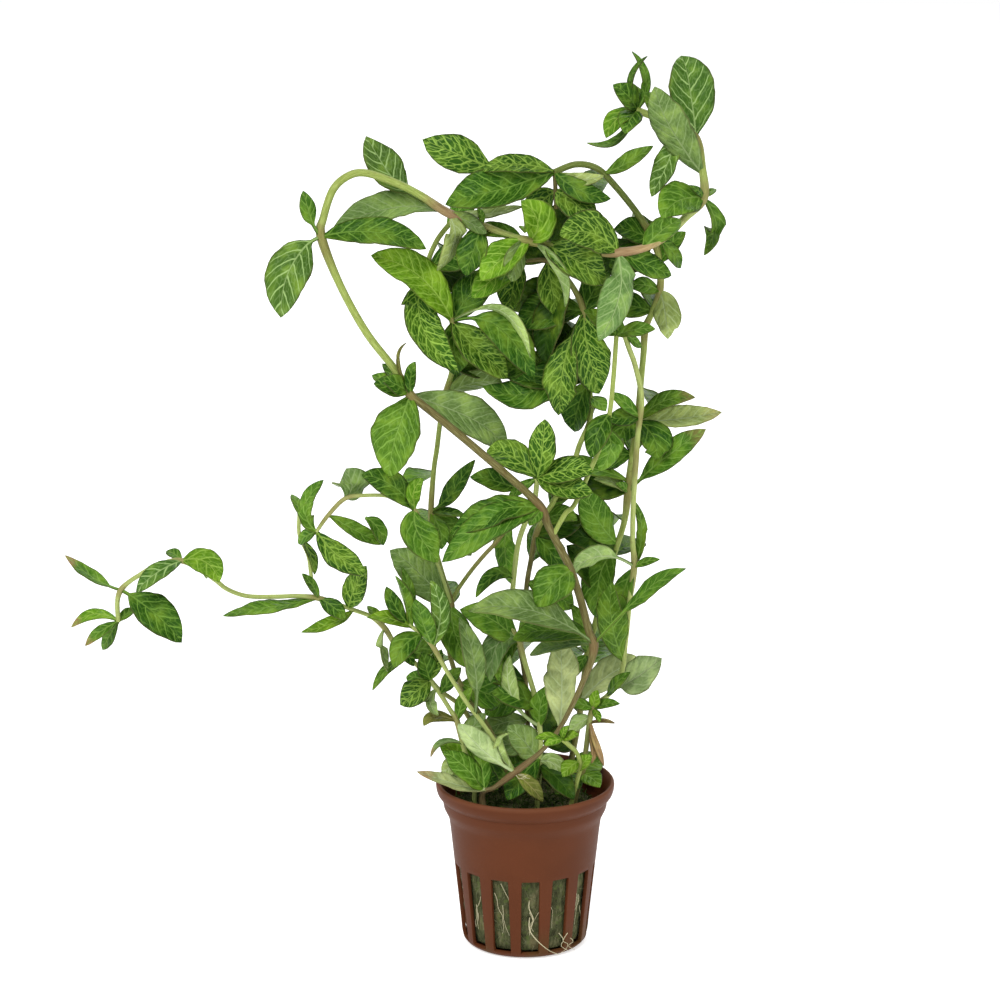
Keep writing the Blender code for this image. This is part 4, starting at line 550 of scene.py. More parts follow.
RIGHT_PALE_STEM = Plant("right_pale_stem", "pale_leaf_green", (14.5, -4.5), [
    Shoot(2.0, ((0, Tint.OLIVE), (3, Tint.PALE)), [
        (17, 52, -5), (18, 60, -6), (18.8, 67, -6), (20, 71.5, -6, 1.3), (24, 75.3, -5),
        (27, 79, -3.5), (28.5, 84, -2), (29, 90, -1), (29.7, 97, 0), (30.3, 104, 1),
        (31.5, 114.5, 2, 1.3), (31, 122, 2), (31, 130, 2), (31.3, 138, 2),
        (31.7, 146, 2, 1.15), (32.2, 154, 2), (32.7, 159, 2, 1.2), (33.2, 164, 1.5),
        (32.5, 169, 1), (31, 175, 0), (29.5, 179, -1), (28, 183.5, -2),
    ]),
], [
    # The small rosette over the rim
    Leaf((20, 71.5, -6), (27.2, 73.3, -11), 2.6, 35, MID),
    Leaf((20, 71.5, -6), (21.8, 67.3, -11), 2, 35, BRIGHT),
    Leaf((20, 71.5, -6), (12.6, 73, -9), 3.2, 35, MID),
    Leaf((19.2, 69, -6), (12.6, 64.5, -8), 4.2, 138, PALE),
    Leaf((20, 71.5, -6), (21, 77, -9), 3, 30, BRIGHT),
    Leaf((26, 77.6, -4), (39.3, 87, -10), 9.4, 30, CREAM, (32, 78.5, -9), stalk=0.16),
    Leaf((24, 75.3, -5), (30, 82.5, -12), 3, 35, MID),
    # Dried strips that hang at the rim
    Leaf((18.7, 66, -6), (19.8, 54.5, -9), 2.2, 50, DRIED),
    Leaf((18.9, 68, -6), (23.8, 53.7, -6), 2, 50, DRIED, (20, 61, -8)),
    Leaf((19, 67, -6), (26.2, 67.2, -9), 1.2, 35, DRIED),
    # Along the upright run
    Leaf((28.6, 86, -1.5), (25, 109.7, -6), 8.4, 25, MID, (22, 96, -7)),
    Leaf((31.5, 114.5, 2), (11.8, 112.6, -14), 4.8, 130, PALE, (21, 122.5, -9), stalk=0.24),
    Leaf((31.5, 114.5, 2), (38.6, 117, -2), 2.2, 35, MID),
    Leaf((31.5, 114.5, 2), (32.2, 134, 6), 2.8, 35, MID, (34.8, 123, 5)),
    Leaf((32.7, 159, 2), (24.5, 166.5, -1), 3.4, 40, MID),
    Leaf((32.7, 159, 2), (23.5, 158, -1), 5, 30, DARK),
    Leaf((28, 183.5, -2), (33, 179.5, 1), 2.4, 40, MID),
    Leaf((28.4, 182.4, -1.8), (21, 189, 1), 5, 30, DARK),
    # Deep between the others
    Leaf((31.5, 114.5, 2), (26, 98.5, 6), 6, 24, MID),
    Leaf((17, 51, -5), (22, 47.5, -12), 5, 30, MID),
    Leaf((16.8, 50, -5), (9, 45.5, -13), 6, 30, DARK),
    Leaf((30.3, 104, 1), (22, 110, 20), 7, 20, MID),
    Leaf((29, 90, -1), (20, 86, 18), 7, 20, MID),
])

RIGHT_GREEN_STEM = Plant("right_green_stem", "leaf_green", (11.0, 7.0), [
    Shoot(2.4, ((0, Tint.BROWN), (3, Tint.GREEN), (15, Tint.GREEN), (17, Tint.DEEP)), [
        (12.5, 50, 8), (16, 70, 10), (18, 88, 11), (20.5, 98, 12), (22.5, 108, 13),
        (25.5, 118, 13), (28.5, 128, 13), (29.5, 137, 12, 1.3), (30.6, 148, 12),
        (32.2, 158, 12, 1.25), (32.8, 168, 12), (33.6, 178, 11), (34, 185, 10, 1.2),
        (36, 190, 9), (38, 196, 8, 1.2), (38, 204, 7), (35.8, 211, 6, 1.2),
        (31.3, 218.3, 5), (25.3, 225.8, 3), (20, 231, 1), (14, 232.2, 0), (8, 230, -1),
    ]),
    Shoot(1.6, ((0, Tint.BROWN),), [(8, 230, -1), (8.2, 226, -1.5), (8.5, 219.5, -2)]),
], [
    # The end of the arch, at the top of the crown
    Leaf((8, 230, -1), (-28.3, 239.8, 4), 10, 18, NET, (-10, 227, 6), stalk=0.5),
    Leaf((8, 230, -1), (-13, 230.7, -7), 5.4, 30, NET, (-2.5, 235, -6)),
    Leaf((8, 230, -1), (-23.5, 222.2, -8), 10.4, 32, DARK, (-8.5, 225, -10)),
    Leaf((8, 230, -1), (23.9, 222.6, -8), 5.6, 30, DARK, (14, 224, -8)),
    Leaf((9, 229.8, -1), (21.8, 229.2, -5), 3.6, 30, PALE, (15, 226.3, -5)),
    Leaf((22, 229.6, 1.6), (35.3, 237.8, -3), 3.8, 45, MID, (28.5, 231.5, -3)),
    Leaf((8.3, 224.5, -1.6), (19.5, 214.5, -9), 9, 24, NET, (13.5, 222, -8)),
    Leaf((8.3, 224.5, -1.6), (1, 213, 2), 8, 28, NET, (3, 222, 3)),
    # Down the right side
    Leaf((38, 196, 8), (29.5, 197.5, 2), 4, 40, MID),
    Leaf((38, 196, 8), (40.3, 182, 4), 7.2, 148, PALE, (41, 191, 4)),
    Leaf((35.8, 211, 6), (25, 214, 4), 7, 32, DARK),
    Leaf((38, 204, 7), (45, 213, 5), 5, 32, DARK),
    Leaf((35.8, 211, 6), (23.5, 203, 0), 7, 30, DARK, (29, 206, 0)),
    Leaf((32.2, 158, 12), (48.5, 165.3, 8), 4.6, 35, MID, (38.5, 165.3, 8), dry_tip=0.4),
    Leaf((32.2, 158, 12), (56, 161, 15), 5.6, 42, PALE, (45, 157, 14), dry_tip=0.4),
    Leaf((32.2, 158, 12), (37.5, 146.5, 5), 9, 25, DARK, (39, 153.5, 6)),
    Leaf((32.2, 158, 12), (26.5, 151, 7), 8, 25, DARK, (27.5, 158, 7)),
    Leaf((29.5, 137, 12), (51.5, 155.8, 6), 6.6, 30, MID, (37.5, 147, 5), stalk=0.2, dry_tip=0.4),
    Leaf((29.8, 140, 12), (5, 145, 5), 4, 50, MID, (18, 145.3, 6)),
    Leaf((29.5, 137, 12), (20, 141.2, 8), 2.8, 50, PALE),
    Leaf((29.5, 137, 12), (26.3, 139.5, 8), 2.2, 35, MID),
    # Behind the main stem
    Leaf((26.5, 121.5, 13), (17.5, 138.3, 8), 9, 28, MID, (18.5, 127, 7)),
    Leaf((26, 119.5, 13), (11, 124, 5), 8, 30, SHADE, (18, 124.5, 6)),
    Leaf((26, 120, 13), (21, 99, 6), 9, 28, MID, (19, 112, 6)),
    Leaf((22.5, 108, 13), (12, 121, 8), 8, 30, SHADE),
    Leaf((18, 88, 11), (14.3, 103, 8), 4.5, 35, MID),
    Leaf((16.5, 74, 8), (34, 86, 3), 8.5, 155, CREAM, (26, 84, 1)),
    Leaf((18, 88, 11), (14.5, 81.5, 6), 3.4, 30, MID),
    Leaf((14.3, 60, 9), (5.5, 61, 5), 7, 34, SHADE),
    Leaf((12.8, 52, 8.5), (20.5, 50, 10), 5, 34, MID),
    Leaf((20, 231, 1), (14, 221, 28), 9, 12, MID, (17, 226.5, 16)),
    Leaf((35.8, 211, 6), (27, 206, 34), 9, 12, MID, (33, 214, 22)),
    Leaf((28.5, 128, 13), (19, 123, 38), 9.5, 12, MID, (24, 133, 27)),
    Leaf((18, 88, 11), (10, 84, 36), 9, 12, DARK, (14, 93, 25)),
    # Deep between the others
    Leaf((38, 204, 7), (17, 204, 12), 10, 24, SHADE),
    Leaf((36, 190, 9), (24, 192, 12), 7, 24, DARK),
    Leaf((30.6, 148, 12), (19, 146, 15), 8, 24, DARK),
    Leaf((29.5, 137, 12), (17, 140.5, 14), 8, 24, SHADE),
    Leaf((12.8, 52, 8), (23, 55, 12), 7, 26, MID),
    Leaf((31.3, 218.3, 5), (35, 208, 26), 8, 20, MID),
    Leaf((36, 190, 9), (30, 199, 32), 8, 20, DARK),
    Leaf((32.8, 168, 12), (38, 160, 32), 8, 20, MID),
    Leaf((30.6, 148, 12), (25, 158, 34), 9, 20, MID),
    Leaf((22.5, 108, 13), (17, 118, 35), 9, 20, DARK),
    Leaf((25.5, 118, 13), (34, 122, 33), 7, 20, DARK),
    Leaf((18, 88, 11), (27, 98, 32), 8, 20, MID),
    Leaf((16, 70, 10), (6, 78, 33), 8, 20, DARK),
    Leaf((14, 60, 9), (4, 66, 28), 7, 20, MID),
])

SHORT_SHOOT = Plant("short_bright_shoot", "pale_leaf_green", (13.0, -12.5), [
    Shoot(1.7, ((0, Tint.GREEN),), [
        (15.5, 50, -14), (16.3, 54, -15.5), (15, 58, -18), (13, 60, -21), (10.8, 62, -24),
    ]),
], [
    Leaf((10.8, 62, -24), (12.6, 66, -28), 2, 30, BRIGHT),
    Leaf((10.8, 62, -24), (3, 62.6, -27), 2.2, 45, BRIGHT),
    Leaf((10.8, 62, -24), (15.6, 63.4, -29), 2.6, 35, BRIGHT),
    Leaf((10.8, 62, -24), (5.8, 60.3, -30), 2.4, 30, BRIGHT),
    Leaf((15.7, 55, -16), (11, 50.6, -19), 4.4, 28, BRIGHT),
    Leaf((16.2, 52.5, -15), (19.5, 57, -17), 3.4, 30, BRIGHT),
])

PLANTS = (
    TALL_STEM, FORKED_STEM, TRAILING_STEM, LOW_LEFT_STEM, MIDDLE_STEM, DARK_STEM,
    RIGHT_PALE_STEM, RIGHT_GREEN_STEM, SHORT_SHOOT,
)

# The two thicker roots that come out of the slots, as real (x, y, z) points in millimetres
ROOTS = (
    ((1.4, -16.5, 14), (1.2, -20.6, 10.5), (3.5, -20.3, 6.8), (7, -18.9, 3.2), (9.8, -16.9, 1.2)),
    ((1.9, -16.5, 21), (1, -19.3, 17), (2.3, -19, 13), (1.3, -18.5, 9), (1.5, -16, 6)),
)

# Fine roots, in the same way
FINE_ROOTS = (
    # Hairs at the foot of the front slots
    ((9.8, -17.2, 8), (11.2, -17.6, 6), (10.4, -17.4, 4.2), (11.9, -16.4, 2.6), (13, -15.2, 1.6)),
    ((12.4, -15.6, 7.4), (11, -17, 5.4), (12.6, -16.2, 4.2), (11.6, -16.6, 2.4), (9.6, -17.4, 1.4)),
    ((13.2, -15, 5.6), (14.2, -14.6, 4.4), (12.6, -15.9, 3.6), (13.9, -14.9, 2.2),
     (14.6, -13.6, 1.2)),
    ((1.2, -18.9, 15), (2.2, -19, 12.6), (1.4, -18.8, 11), (2.4, -18.6, 9)),
    # A pale tuft at the lowest node of the tall stem
    ((-2.4, -17.3, 56.9), (-1, -18.4, 57.4), (0.2, -18, 56.6), (-0.6, -18.8, 56),
     (-1.8, -18.6, 56.4)),
    ((-3, -17.6, 57.2), (-1.8, -19, 56.2), (-0.4, -18.9, 56.8), (0.6, -18.2, 57.2)),
    ((-2, -17.4, 56.6), (-0.8, -18.6, 57), (0.6, -18.8, 56.3), (1.2, -18, 56)),
)


def metres(point: tuple) -> Vector:
    """The point (x, y, z) in millimetres as a vector in metres."""
    return Vector(point) * MM


def sighted(point: tuple) -> Vector:
    """The real place of a point of the tables.

    Args:
        point: (across, up, depth) in millimetres; anything after them is left alone.

    Returns:
        The place as (x, y, z) in metres.
    """
    across, up, depth = point[:3]
    nearness = 1 + depth / -EYE[1]
    return metres((
        EYE[0] + (across - EYE[0]) * nearness,
        depth,
        EYE[2] + (up - EYE[2]) * nearness,
    ))


class Operand:
    """A socket of a node tree, or a plain value, used in Python expressions."""

    def __init__(self, nodes: "Nodes", socket: Any) -> None:
        """Keep the tree's builder and the socket."""
        self.nodes = nodes
        self.socket = socket


def operator(operation: str, swapped: bool = False) -> Callable:
    """A method of Value that adds one Math node.

    Args:
        operation: the Math node's operation.
        swapped: whether the other operand comes first.

    Returns:
        The method, which takes the other operands and gives the node's result.
    """
    def method(self: "Value", *others: Any) -> "Value":
        """Add the node."""
        operands = (*others, self) if swapped else (self, *others)
        return self.nodes.math(operation, *operands)
    return method


class Value(Operand):
    """A number, whose operators add Math nodes."""

    __add__, __radd__ = operator("ADD"), operator("ADD", swapped=True)
    __sub__, __rsub__ = operator("SUBTRACT"), operator("SUBTRACT", swapped=True)
    __mul__, __rmul__ = operator("MULTIPLY"), operator("MULTIPLY", swapped=True)
    __truediv__, __pow__, __abs__ = operator("DIVIDE"), operator("POWER"), operator("ABSOLUTE")
    larger, cosine, fraction = operator("MAXIMUM"), operator("COSINE"), operator("FRACT")

    def between(self, low: Any, high: Any) -> "Value":
        """A smooth step: 0 where this is at low and 1 where it is at high.

        Args:
            low: the value that gives 0.
            high: the value that gives 1; it may be the smaller one.

        Returns:
            The step.
        """
        share = self.nodes.math("DIVIDE", self - low, high - low)
        share.socket.node.use_clamp = True
        return share * share * (3 - 2 * share)


class Direction(Operand):
    """A vector, whose operators add Vector Math nodes."""

    def __add__(self, other: Any) -> "Direction":
        """This plus the other vector."""
        return self.nodes.vector("ADD", self, other)

    def __mul__(self, other: Any) -> "Direction":
        """This made longer by a number."""
        return self.nodes.vector("SCALE", self, Scale=other)


class Nodes:
    """Builds a node tree, whether for a material or for Geometry Nodes."""

    def __init__(self, tree: NodeTree) -> None:
        """Keep the tree that is built."""
        self.tree = tree

    def add(self, kind: str, settings: dict | None = None,
            inputs: dict | None = None) -> bpy.types.Node:
        """Add any node.

        Args:
            kind: the node's type.
            settings: its properties, which are set first; stops are a colour ramp's.
            inputs: what its sockets get, by name or number: a value, a socket or an operand.

        Returns:
            The node.
        """
        node = self.tree.nodes.new(kind)
        for name, setting in (settings or {}).items():
            if name == "stops":
                self.set_stops(node.color_ramp, setting)
            else:
                setattr(node, name, setting)
        for name, given in (inputs or {}).items():
            if isinstance(name, int):
                socket = node.inputs[name]
            else:
                socket = next(s for s in node.inputs if s.name == name and s.enabled)
            self.feed(socket, given)
        return node

    @staticmethod
    def set_stops(ramp: bpy.types.ColorRamp, stops: tuple) -> None:
        """Give a colour ramp its stops.

        Args:
            ramp: the ramp.
            stops: its stops, each (place, colour).
        """
        while len(ramp.elements) < len(stops):
            ramp.elements.new(1)
        for element, (place, colour) in zip(ramp.elements, stops):
            element.position = place
            element.color = (*colour, 1)

    def feed(self, socket: NodeSocket, given: Any) -> None:
        """Link a socket to another one, or set its own value.

        Args:
            socket: the socket.
            given: an operand, another socket, or a plain value.
        """
        if isinstance(given, Operand):
            given = given.socket
        if isinstance(given, NodeSocket):
            self.tree.links.new(given, socket)
        elif socket.type == "RGBA" and len(given) == 3:
            socket.default_value = (*given, 1)
        else:
            socket.default_value = given

    def out(self, node: bpy.types.Node, name: str) -> NodeSocket:
        """The output of this name that is in use on a node."""
        return next(s for s in node.outputs if s.name == name and s.enabled)

    def height(self, place: Any) -> Value:
        """How high a place lies."""
        return Value(self, self.add("ShaderNodeSeparateXYZ", inputs={0: place}).outputs["Z"])

    def math(self, operation: str, *operands: Any) -> Value:
        """Add a Math node and give its result."""
        node = self.add("ShaderNodeMath", {"operation": operation}, dict(enumerate(operands)))
        return Value(self, node.outputs[0])

    def vector(self, operation: str, *operands: Any, **named: Any) -> Direction:
        """Add a Vector Math node and give its result."""
        inputs = {**dict(enumerate(operands)), **named}
        node = self.add("ShaderNodeVectorMath", {"operation": operation}, inputs)
        return Direction(self, node.outputs["Vector"])

    def joined(self, x: Any, y: Any, z: Any) -> Direction:
        """A vector from three numbers."""
        node = self.add("ShaderNodeCombineXYZ", inputs={"X": x, "Y": y, "Z": z})
        return Direction(self, node.outputs["Vector"])

    def noise(self, place: Any, scale: float, detail: float = 2.0, roughness: float = 0.5) -> Value:
        """Noise from 0 to 1.

        Args:
            place: the coordinates that it is read at.
            scale: how many patches it has in a unit of length.
            detail: how many finer layers are added.
            roughness: how strong those are.

        Returns:
            The noise.
        """
        inputs = {"Vector": place, "Scale": scale, "Detail": detail, "Roughness": roughness}
        node = self.add("ShaderNodeTexNoise", {"noise_dimensions": "3D"}, inputs)
        return Value(self, node.outputs[0])


class ShaderNodes(Nodes):
    """Builds one material's nodes."""

    def __init__(self, name: str) -> None:
        """Make the material with its Principled shader."""
        self.material = bpy.data.materials.new(name)
        self.material.use_nodes = True
        super().__init__(self.material.node_tree)
        self.shader = self.tree.nodes["Principled BSDF"]

    def number(self, name: str) -> Value:
        """A number that the piece's mesh carries under this name."""
        node = self.add("ShaderNodeAttribute", {"attribute_name": name})
        return Value(self, node.outputs["Fac"])

    def colour(self, name: str) -> NodeSocket:
        """A colour that the piece's mesh carries under this name."""
        return self.add("ShaderNodeAttribute", {"attribute_name": name}).outputs["Color"]

    def place(self) -> Direction:
        """The place on the object, in metres."""
        return Direction(self, self.add("ShaderNodeTexCoord").outputs["Object"])

    def mix(self, share: Any, first: Any, second: Any, blend: str = "MIX") -> NodeSocket:
        """Mix two colours.

        Args:
            share: how much of the second one.
            first: the first colour or its socket.
            second: the second colour or its socket.
            blend: how they mix.

        Returns:
            The mixed colour's socket.
        """
        settings = {"data_type": "RGBA", "blend_type": blend}
        node = self.add("ShaderNodeMix", settings, {"Factor": share, "A": first, "B": second})
        return self.out(node, "Result")

    def ramp(self, share: Any, stops: tuple) -> NodeSocket:
        """A colour ramp's colour at a share."""
        node = self.add("ShaderNodeValToRGB", {"stops": stops}, {"Fac": share})
        return node.outputs["Color"]

    def edges(self, place: Any, scale: float) -> Value:
        """The distance to the nearest edge of uneven cells, in cells.

        Args:
            place: the coordinates that it is read at.
            scale: how many cells it has in a unit of length.

        Returns:
            The distance.
        """
        settings = {"feature": "DISTANCE_TO_EDGE", "voronoi_dimensions": "2D"}
        node = self.add("ShaderNodeTexVoronoi", settings, {"Vector": place, "Scale": scale})
        return Value(self, node.outputs["Distance"])

    def finish(self, colour: Any, roughness: Any, height: Any, depth: float, specular: float,
               strength: float) -> Material:
        """Feed the shader.

        Args:
            colour: the base colour's socket.
            roughness: the roughness.
            height: the relief, from 0 to 1.
            depth: how deep the relief is, in metres.
            specular: the specular level.
            strength: how strongly the relief shows.

        Returns:
            The material.
        """
        self.feed(self.shader.inputs["Base Color"], colour)
        self.feed(self.shader.inputs["Roughness"], roughness)
        self.shader.inputs["Specular IOR Level"].default_value = specular
        inputs = {"Height": height, "Distance": depth, "Strength": strength}
        bump = self.add("ShaderNodeBump", inputs=inputs)
        self.feed(self.shader.inputs["Normal"], bump.outputs["Normal"])
        return self.material


class GeometryTree(Nodes):
    """Builds one Geometry Nodes tree with named inputs."""

    SOCKETS = {float: "NodeSocketFloat", int: "NodeSocketInt", object: "NodeSocketMaterial"}

    def __init__(self, name: str) -> None:
        """Make the tree with its geometry in and out."""
        super().__init__(bpy.data.node_groups.new(name, "GeometryNodeTree"))
        for way in ("INPUT", "OUTPUT"):
            self.tree.interface.new_socket("Geometry", in_out=way, socket_type="NodeSocketGeometry")
        self.entry = self.tree.nodes.new("NodeGroupInput")
        self.exit = self.tree.nodes.new("NodeGroupOutput")

    def size(self, name: str, kind: type = float) -> Value:
        """A named input of the tree, a number unless another kind is asked."""
        self.tree.interface.new_socket(name, in_out="INPUT", socket_type=self.SOCKETS[kind])
        return Value(self, self.entry.outputs[name])

    def number(self, name: str) -> Value:
        """A number that the geometry carries under this name."""
        node = self.add("GeometryNodeInputNamedAttribute", {"data_type": "FLOAT"}, {"Name": name})
        return Value(self, self.out(node, "Attribute"))

    def direction(self, name: str) -> Direction:
        """A vector that the geometry carries under this name."""
        settings = {"data_type": "FLOAT_VECTOR"}
        node = self.add("GeometryNodeInputNamedAttribute", settings, {"Name": name})
        return Direction(self, self.out(node, "Attribute"))

    def course(self, name: str) -> Value:
        """How far along its curve a point lies, as its Factor or its Length."""
        return Value(self, self.add("GeometryNodeSplineParameter").outputs[name])

    def spot(self) -> Direction:
        """Where each point lies."""
        return Direction(self, self.add("GeometryNodeInputPosition").outputs[0])

    def drawn(self, low: float, high: float, seed: int) -> Value:
        """A random number from low to high for each point."""
        inputs = {"Min": low, "Max": high, "Seed": seed}
        node = self.add("FunctionNodeRandomValue", {"data_type": "FLOAT"}, inputs)
        return Value(self, self.out(node, "Value"))

    def step(self, kind: str, settings: dict | None = None, inputs: dict | None = None) -> Any:
        """Add a node that changes geometry and give its first output."""
        return self.add(kind, settings, inputs).outputs[0]

    def stored(self, geometry: Any, name: str, value: Value) -> NodeSocket:
        """Let each point of the geometry carry a number under this name."""
        settings = {"data_type": "FLOAT", "domain": "POINT"}
        inputs = {"Geometry": geometry, "Name": name, "Value": value}
        return self.step("GeometryNodeStoreNamedAttribute", settings, inputs)

    def merged(self, geometry: Any, distance: float) -> NodeSocket:
        """Join the geometry's points that lie this near to each other, in metres."""
        inputs = {"Geometry": geometry, "Distance": distance}
        return self.step("GeometryNodeMergeByDistance", inputs=inputs)

    def end(self, geometry: Any, finish: Value) -> NodeTree:
        """End the tree in real, smooth geometry with its material.

        Args:
            geometry: what the tree has made.
            finish: the material's input.

        Returns:
            The tree.
        """
        smooth = self.step("GeometryNodeSetShadeSmooth", inputs={"Geometry": geometry})
        real = self.step("GeometryNodeRealizeInstances", inputs={"Geometry": smooth})
        inputs = {"Geometry": real, "Material": finish}
        dressed = self.step("GeometryNodeSetMaterial", inputs=inputs)
        self.tree.links.new(dressed, self.exit.inputs[0])
        return self.tree


def new_object(name: str, held: bpy.types.ID) -> Object:
    """A new object in the scene that holds this mesh, lamp or camera."""
    made = bpy.data.objects.new(name, held)
    bpy.context.scene.collection.objects.link(made)
    return made


def modify(piece: Object, name: str, kind: str, **settings: Any) -> None:
    """Add a modifier with this name, of this kind and with these settings."""
    made = piece.modifiers.new(name, kind)
    for setting, given in settings.items():
        setattr(made, setting, given)


def bridge(work: bmesh.types.BMesh, rings: list[list]) -> None:
    """Join each ring of points to the next one with faces.

    Args:
        work: what the faces are added to.
        rings: the closed rings in order; a ring of one point is a pole.
    """
    for low, high in zip(rings, rings[1:]):
        count = max(len(low), len(high))
        for step in range(count):
            after = (step + 1) % count
            if len(low) == 1:
                work.faces.new((low[0], high[after], high[step]))
            elif len(high) == 1:
                work.faces.new((low[step], low[after], high[0]))
            else:
                work.faces.new((low[step], low[after], high[after], high[step]))


def finished(work: bmesh.types.BMesh, name: str, smooth: bool = True) -> Mesh:
    """The work as a mesh whose faces look outwards; the work is freed.

    Args:
        work: the faces.
        name: the mesh's name.
        smooth: whether it is shaded smooth.

    Returns:
        The mesh.
    """
    bmesh.ops.recalc_face_normals(work, faces=work.faces)
    mesh = bpy.data.meshes.new(name)
    work.to_mesh(mesh)
    work.free()
    if smooth:
        mesh.shade_smooth()
    return mesh


def turned(section: list[tuple], angle: float) -> list[tuple]:
    """The (radius, height) points of a section as (x, y, z) points at an angle round the axis."""
    return [(r * math.cos(angle), r * math.sin(angle), z) for r, z in section]


def grown(name: str, mesh: Mesh, tree: NodeTree, sizes: dict,
          finishes: list[Material], solid: dict | None = None) -> Object:
    """Run a Geometry Nodes tree on a mesh and keep what it makes as a plain mesh.

    Args:
        name: the piece's name.
        mesh: what the tree starts from.
        tree: the tree.
        sizes: the tree's inputs by name.
        finishes: the piece's materials; the tree sets the first one.
        solid: settings of a Solidify modifier, where the tree makes an open sheet.

    Returns:
        The finished object, at the origin.
    """
    started = new_object(f"{name}_start", mesh)
    grow = started.modifiers.new("grow", "NODES")
    grow.node_group = tree
    named = {s.name: s.identifier for s in tree.interface.items_tree if s.in_out == "INPUT"}
    for size, given in {**sizes, "Finish": finishes[0]}.items():
        grow[named[size]] = given
    if solid:
        modify(started, "shell", "SOLIDIFY", **solid)
    for finish in finishes:
        mesh.materials.append(finish)
    graph = bpy.context.evaluated_depsgraph_get()
    made = bpy.data.meshes.new_from_object(started.evaluated_get(graph), depsgraph=graph)
    made.name = name
    started.modifiers.clear()
    bpy.data.objects.remove(started, do_unlink=True)
    return new_object(name, made)


def line_mesh(name: str, lines: list[list[dict]]) -> Mesh:
    """A mesh of open lines, whose points carry values.

    Args:
        name: the mesh's name.
        lines: for each line its points, each a dict with "place" and the values to carry, which
            are numbers, vectors, or colours of four numbers.

    Returns:
        The mesh.
    """
    points = [point for line in lines for point in line]
    edges, first = [], 0
    for line in lines:
        edges += [(first + index, first + index + 1) for index in range(len(line) - 1)]
        first += len(line)
    mesh = bpy.data.meshes.new(name)
    mesh.from_pydata([point["place"] for point in points], edges, [])
    for key, sample in points[0].items():
        if key == "place":
            continue
        if isinstance(sample, Vector):
            kind, field = "FLOAT_VECTOR", "vector"
        elif isinstance(sample, tuple):
            kind, field = "FLOAT_COLOR", "color"
        else:
            kind, field = "FLOAT", "value"
        carried = mesh.attributes.new(key, kind, "POINT")
        values = np.array([point[key] for point in points], np.float32)
        carried.data.foreach_set(field, values.ravel())
    return mesh


def report(piece: Object, started: float) -> None:
    """Log a finished piece with its number of triangles and the seconds it took."""
    piece.data.calc_loop_triangles()
    LOG.info("%s: %d triangles, %.1f s", piece.name, len(piece.data.loop_triangles),
             time.monotonic() - started)


def hand_over(piece: Object, slot: str, *nodes: str) -> None:
    """Let a finished piece ride on the part in place of the solids it stands for."""
    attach(piece, BODY)
    if nodes:
        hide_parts(*nodes)


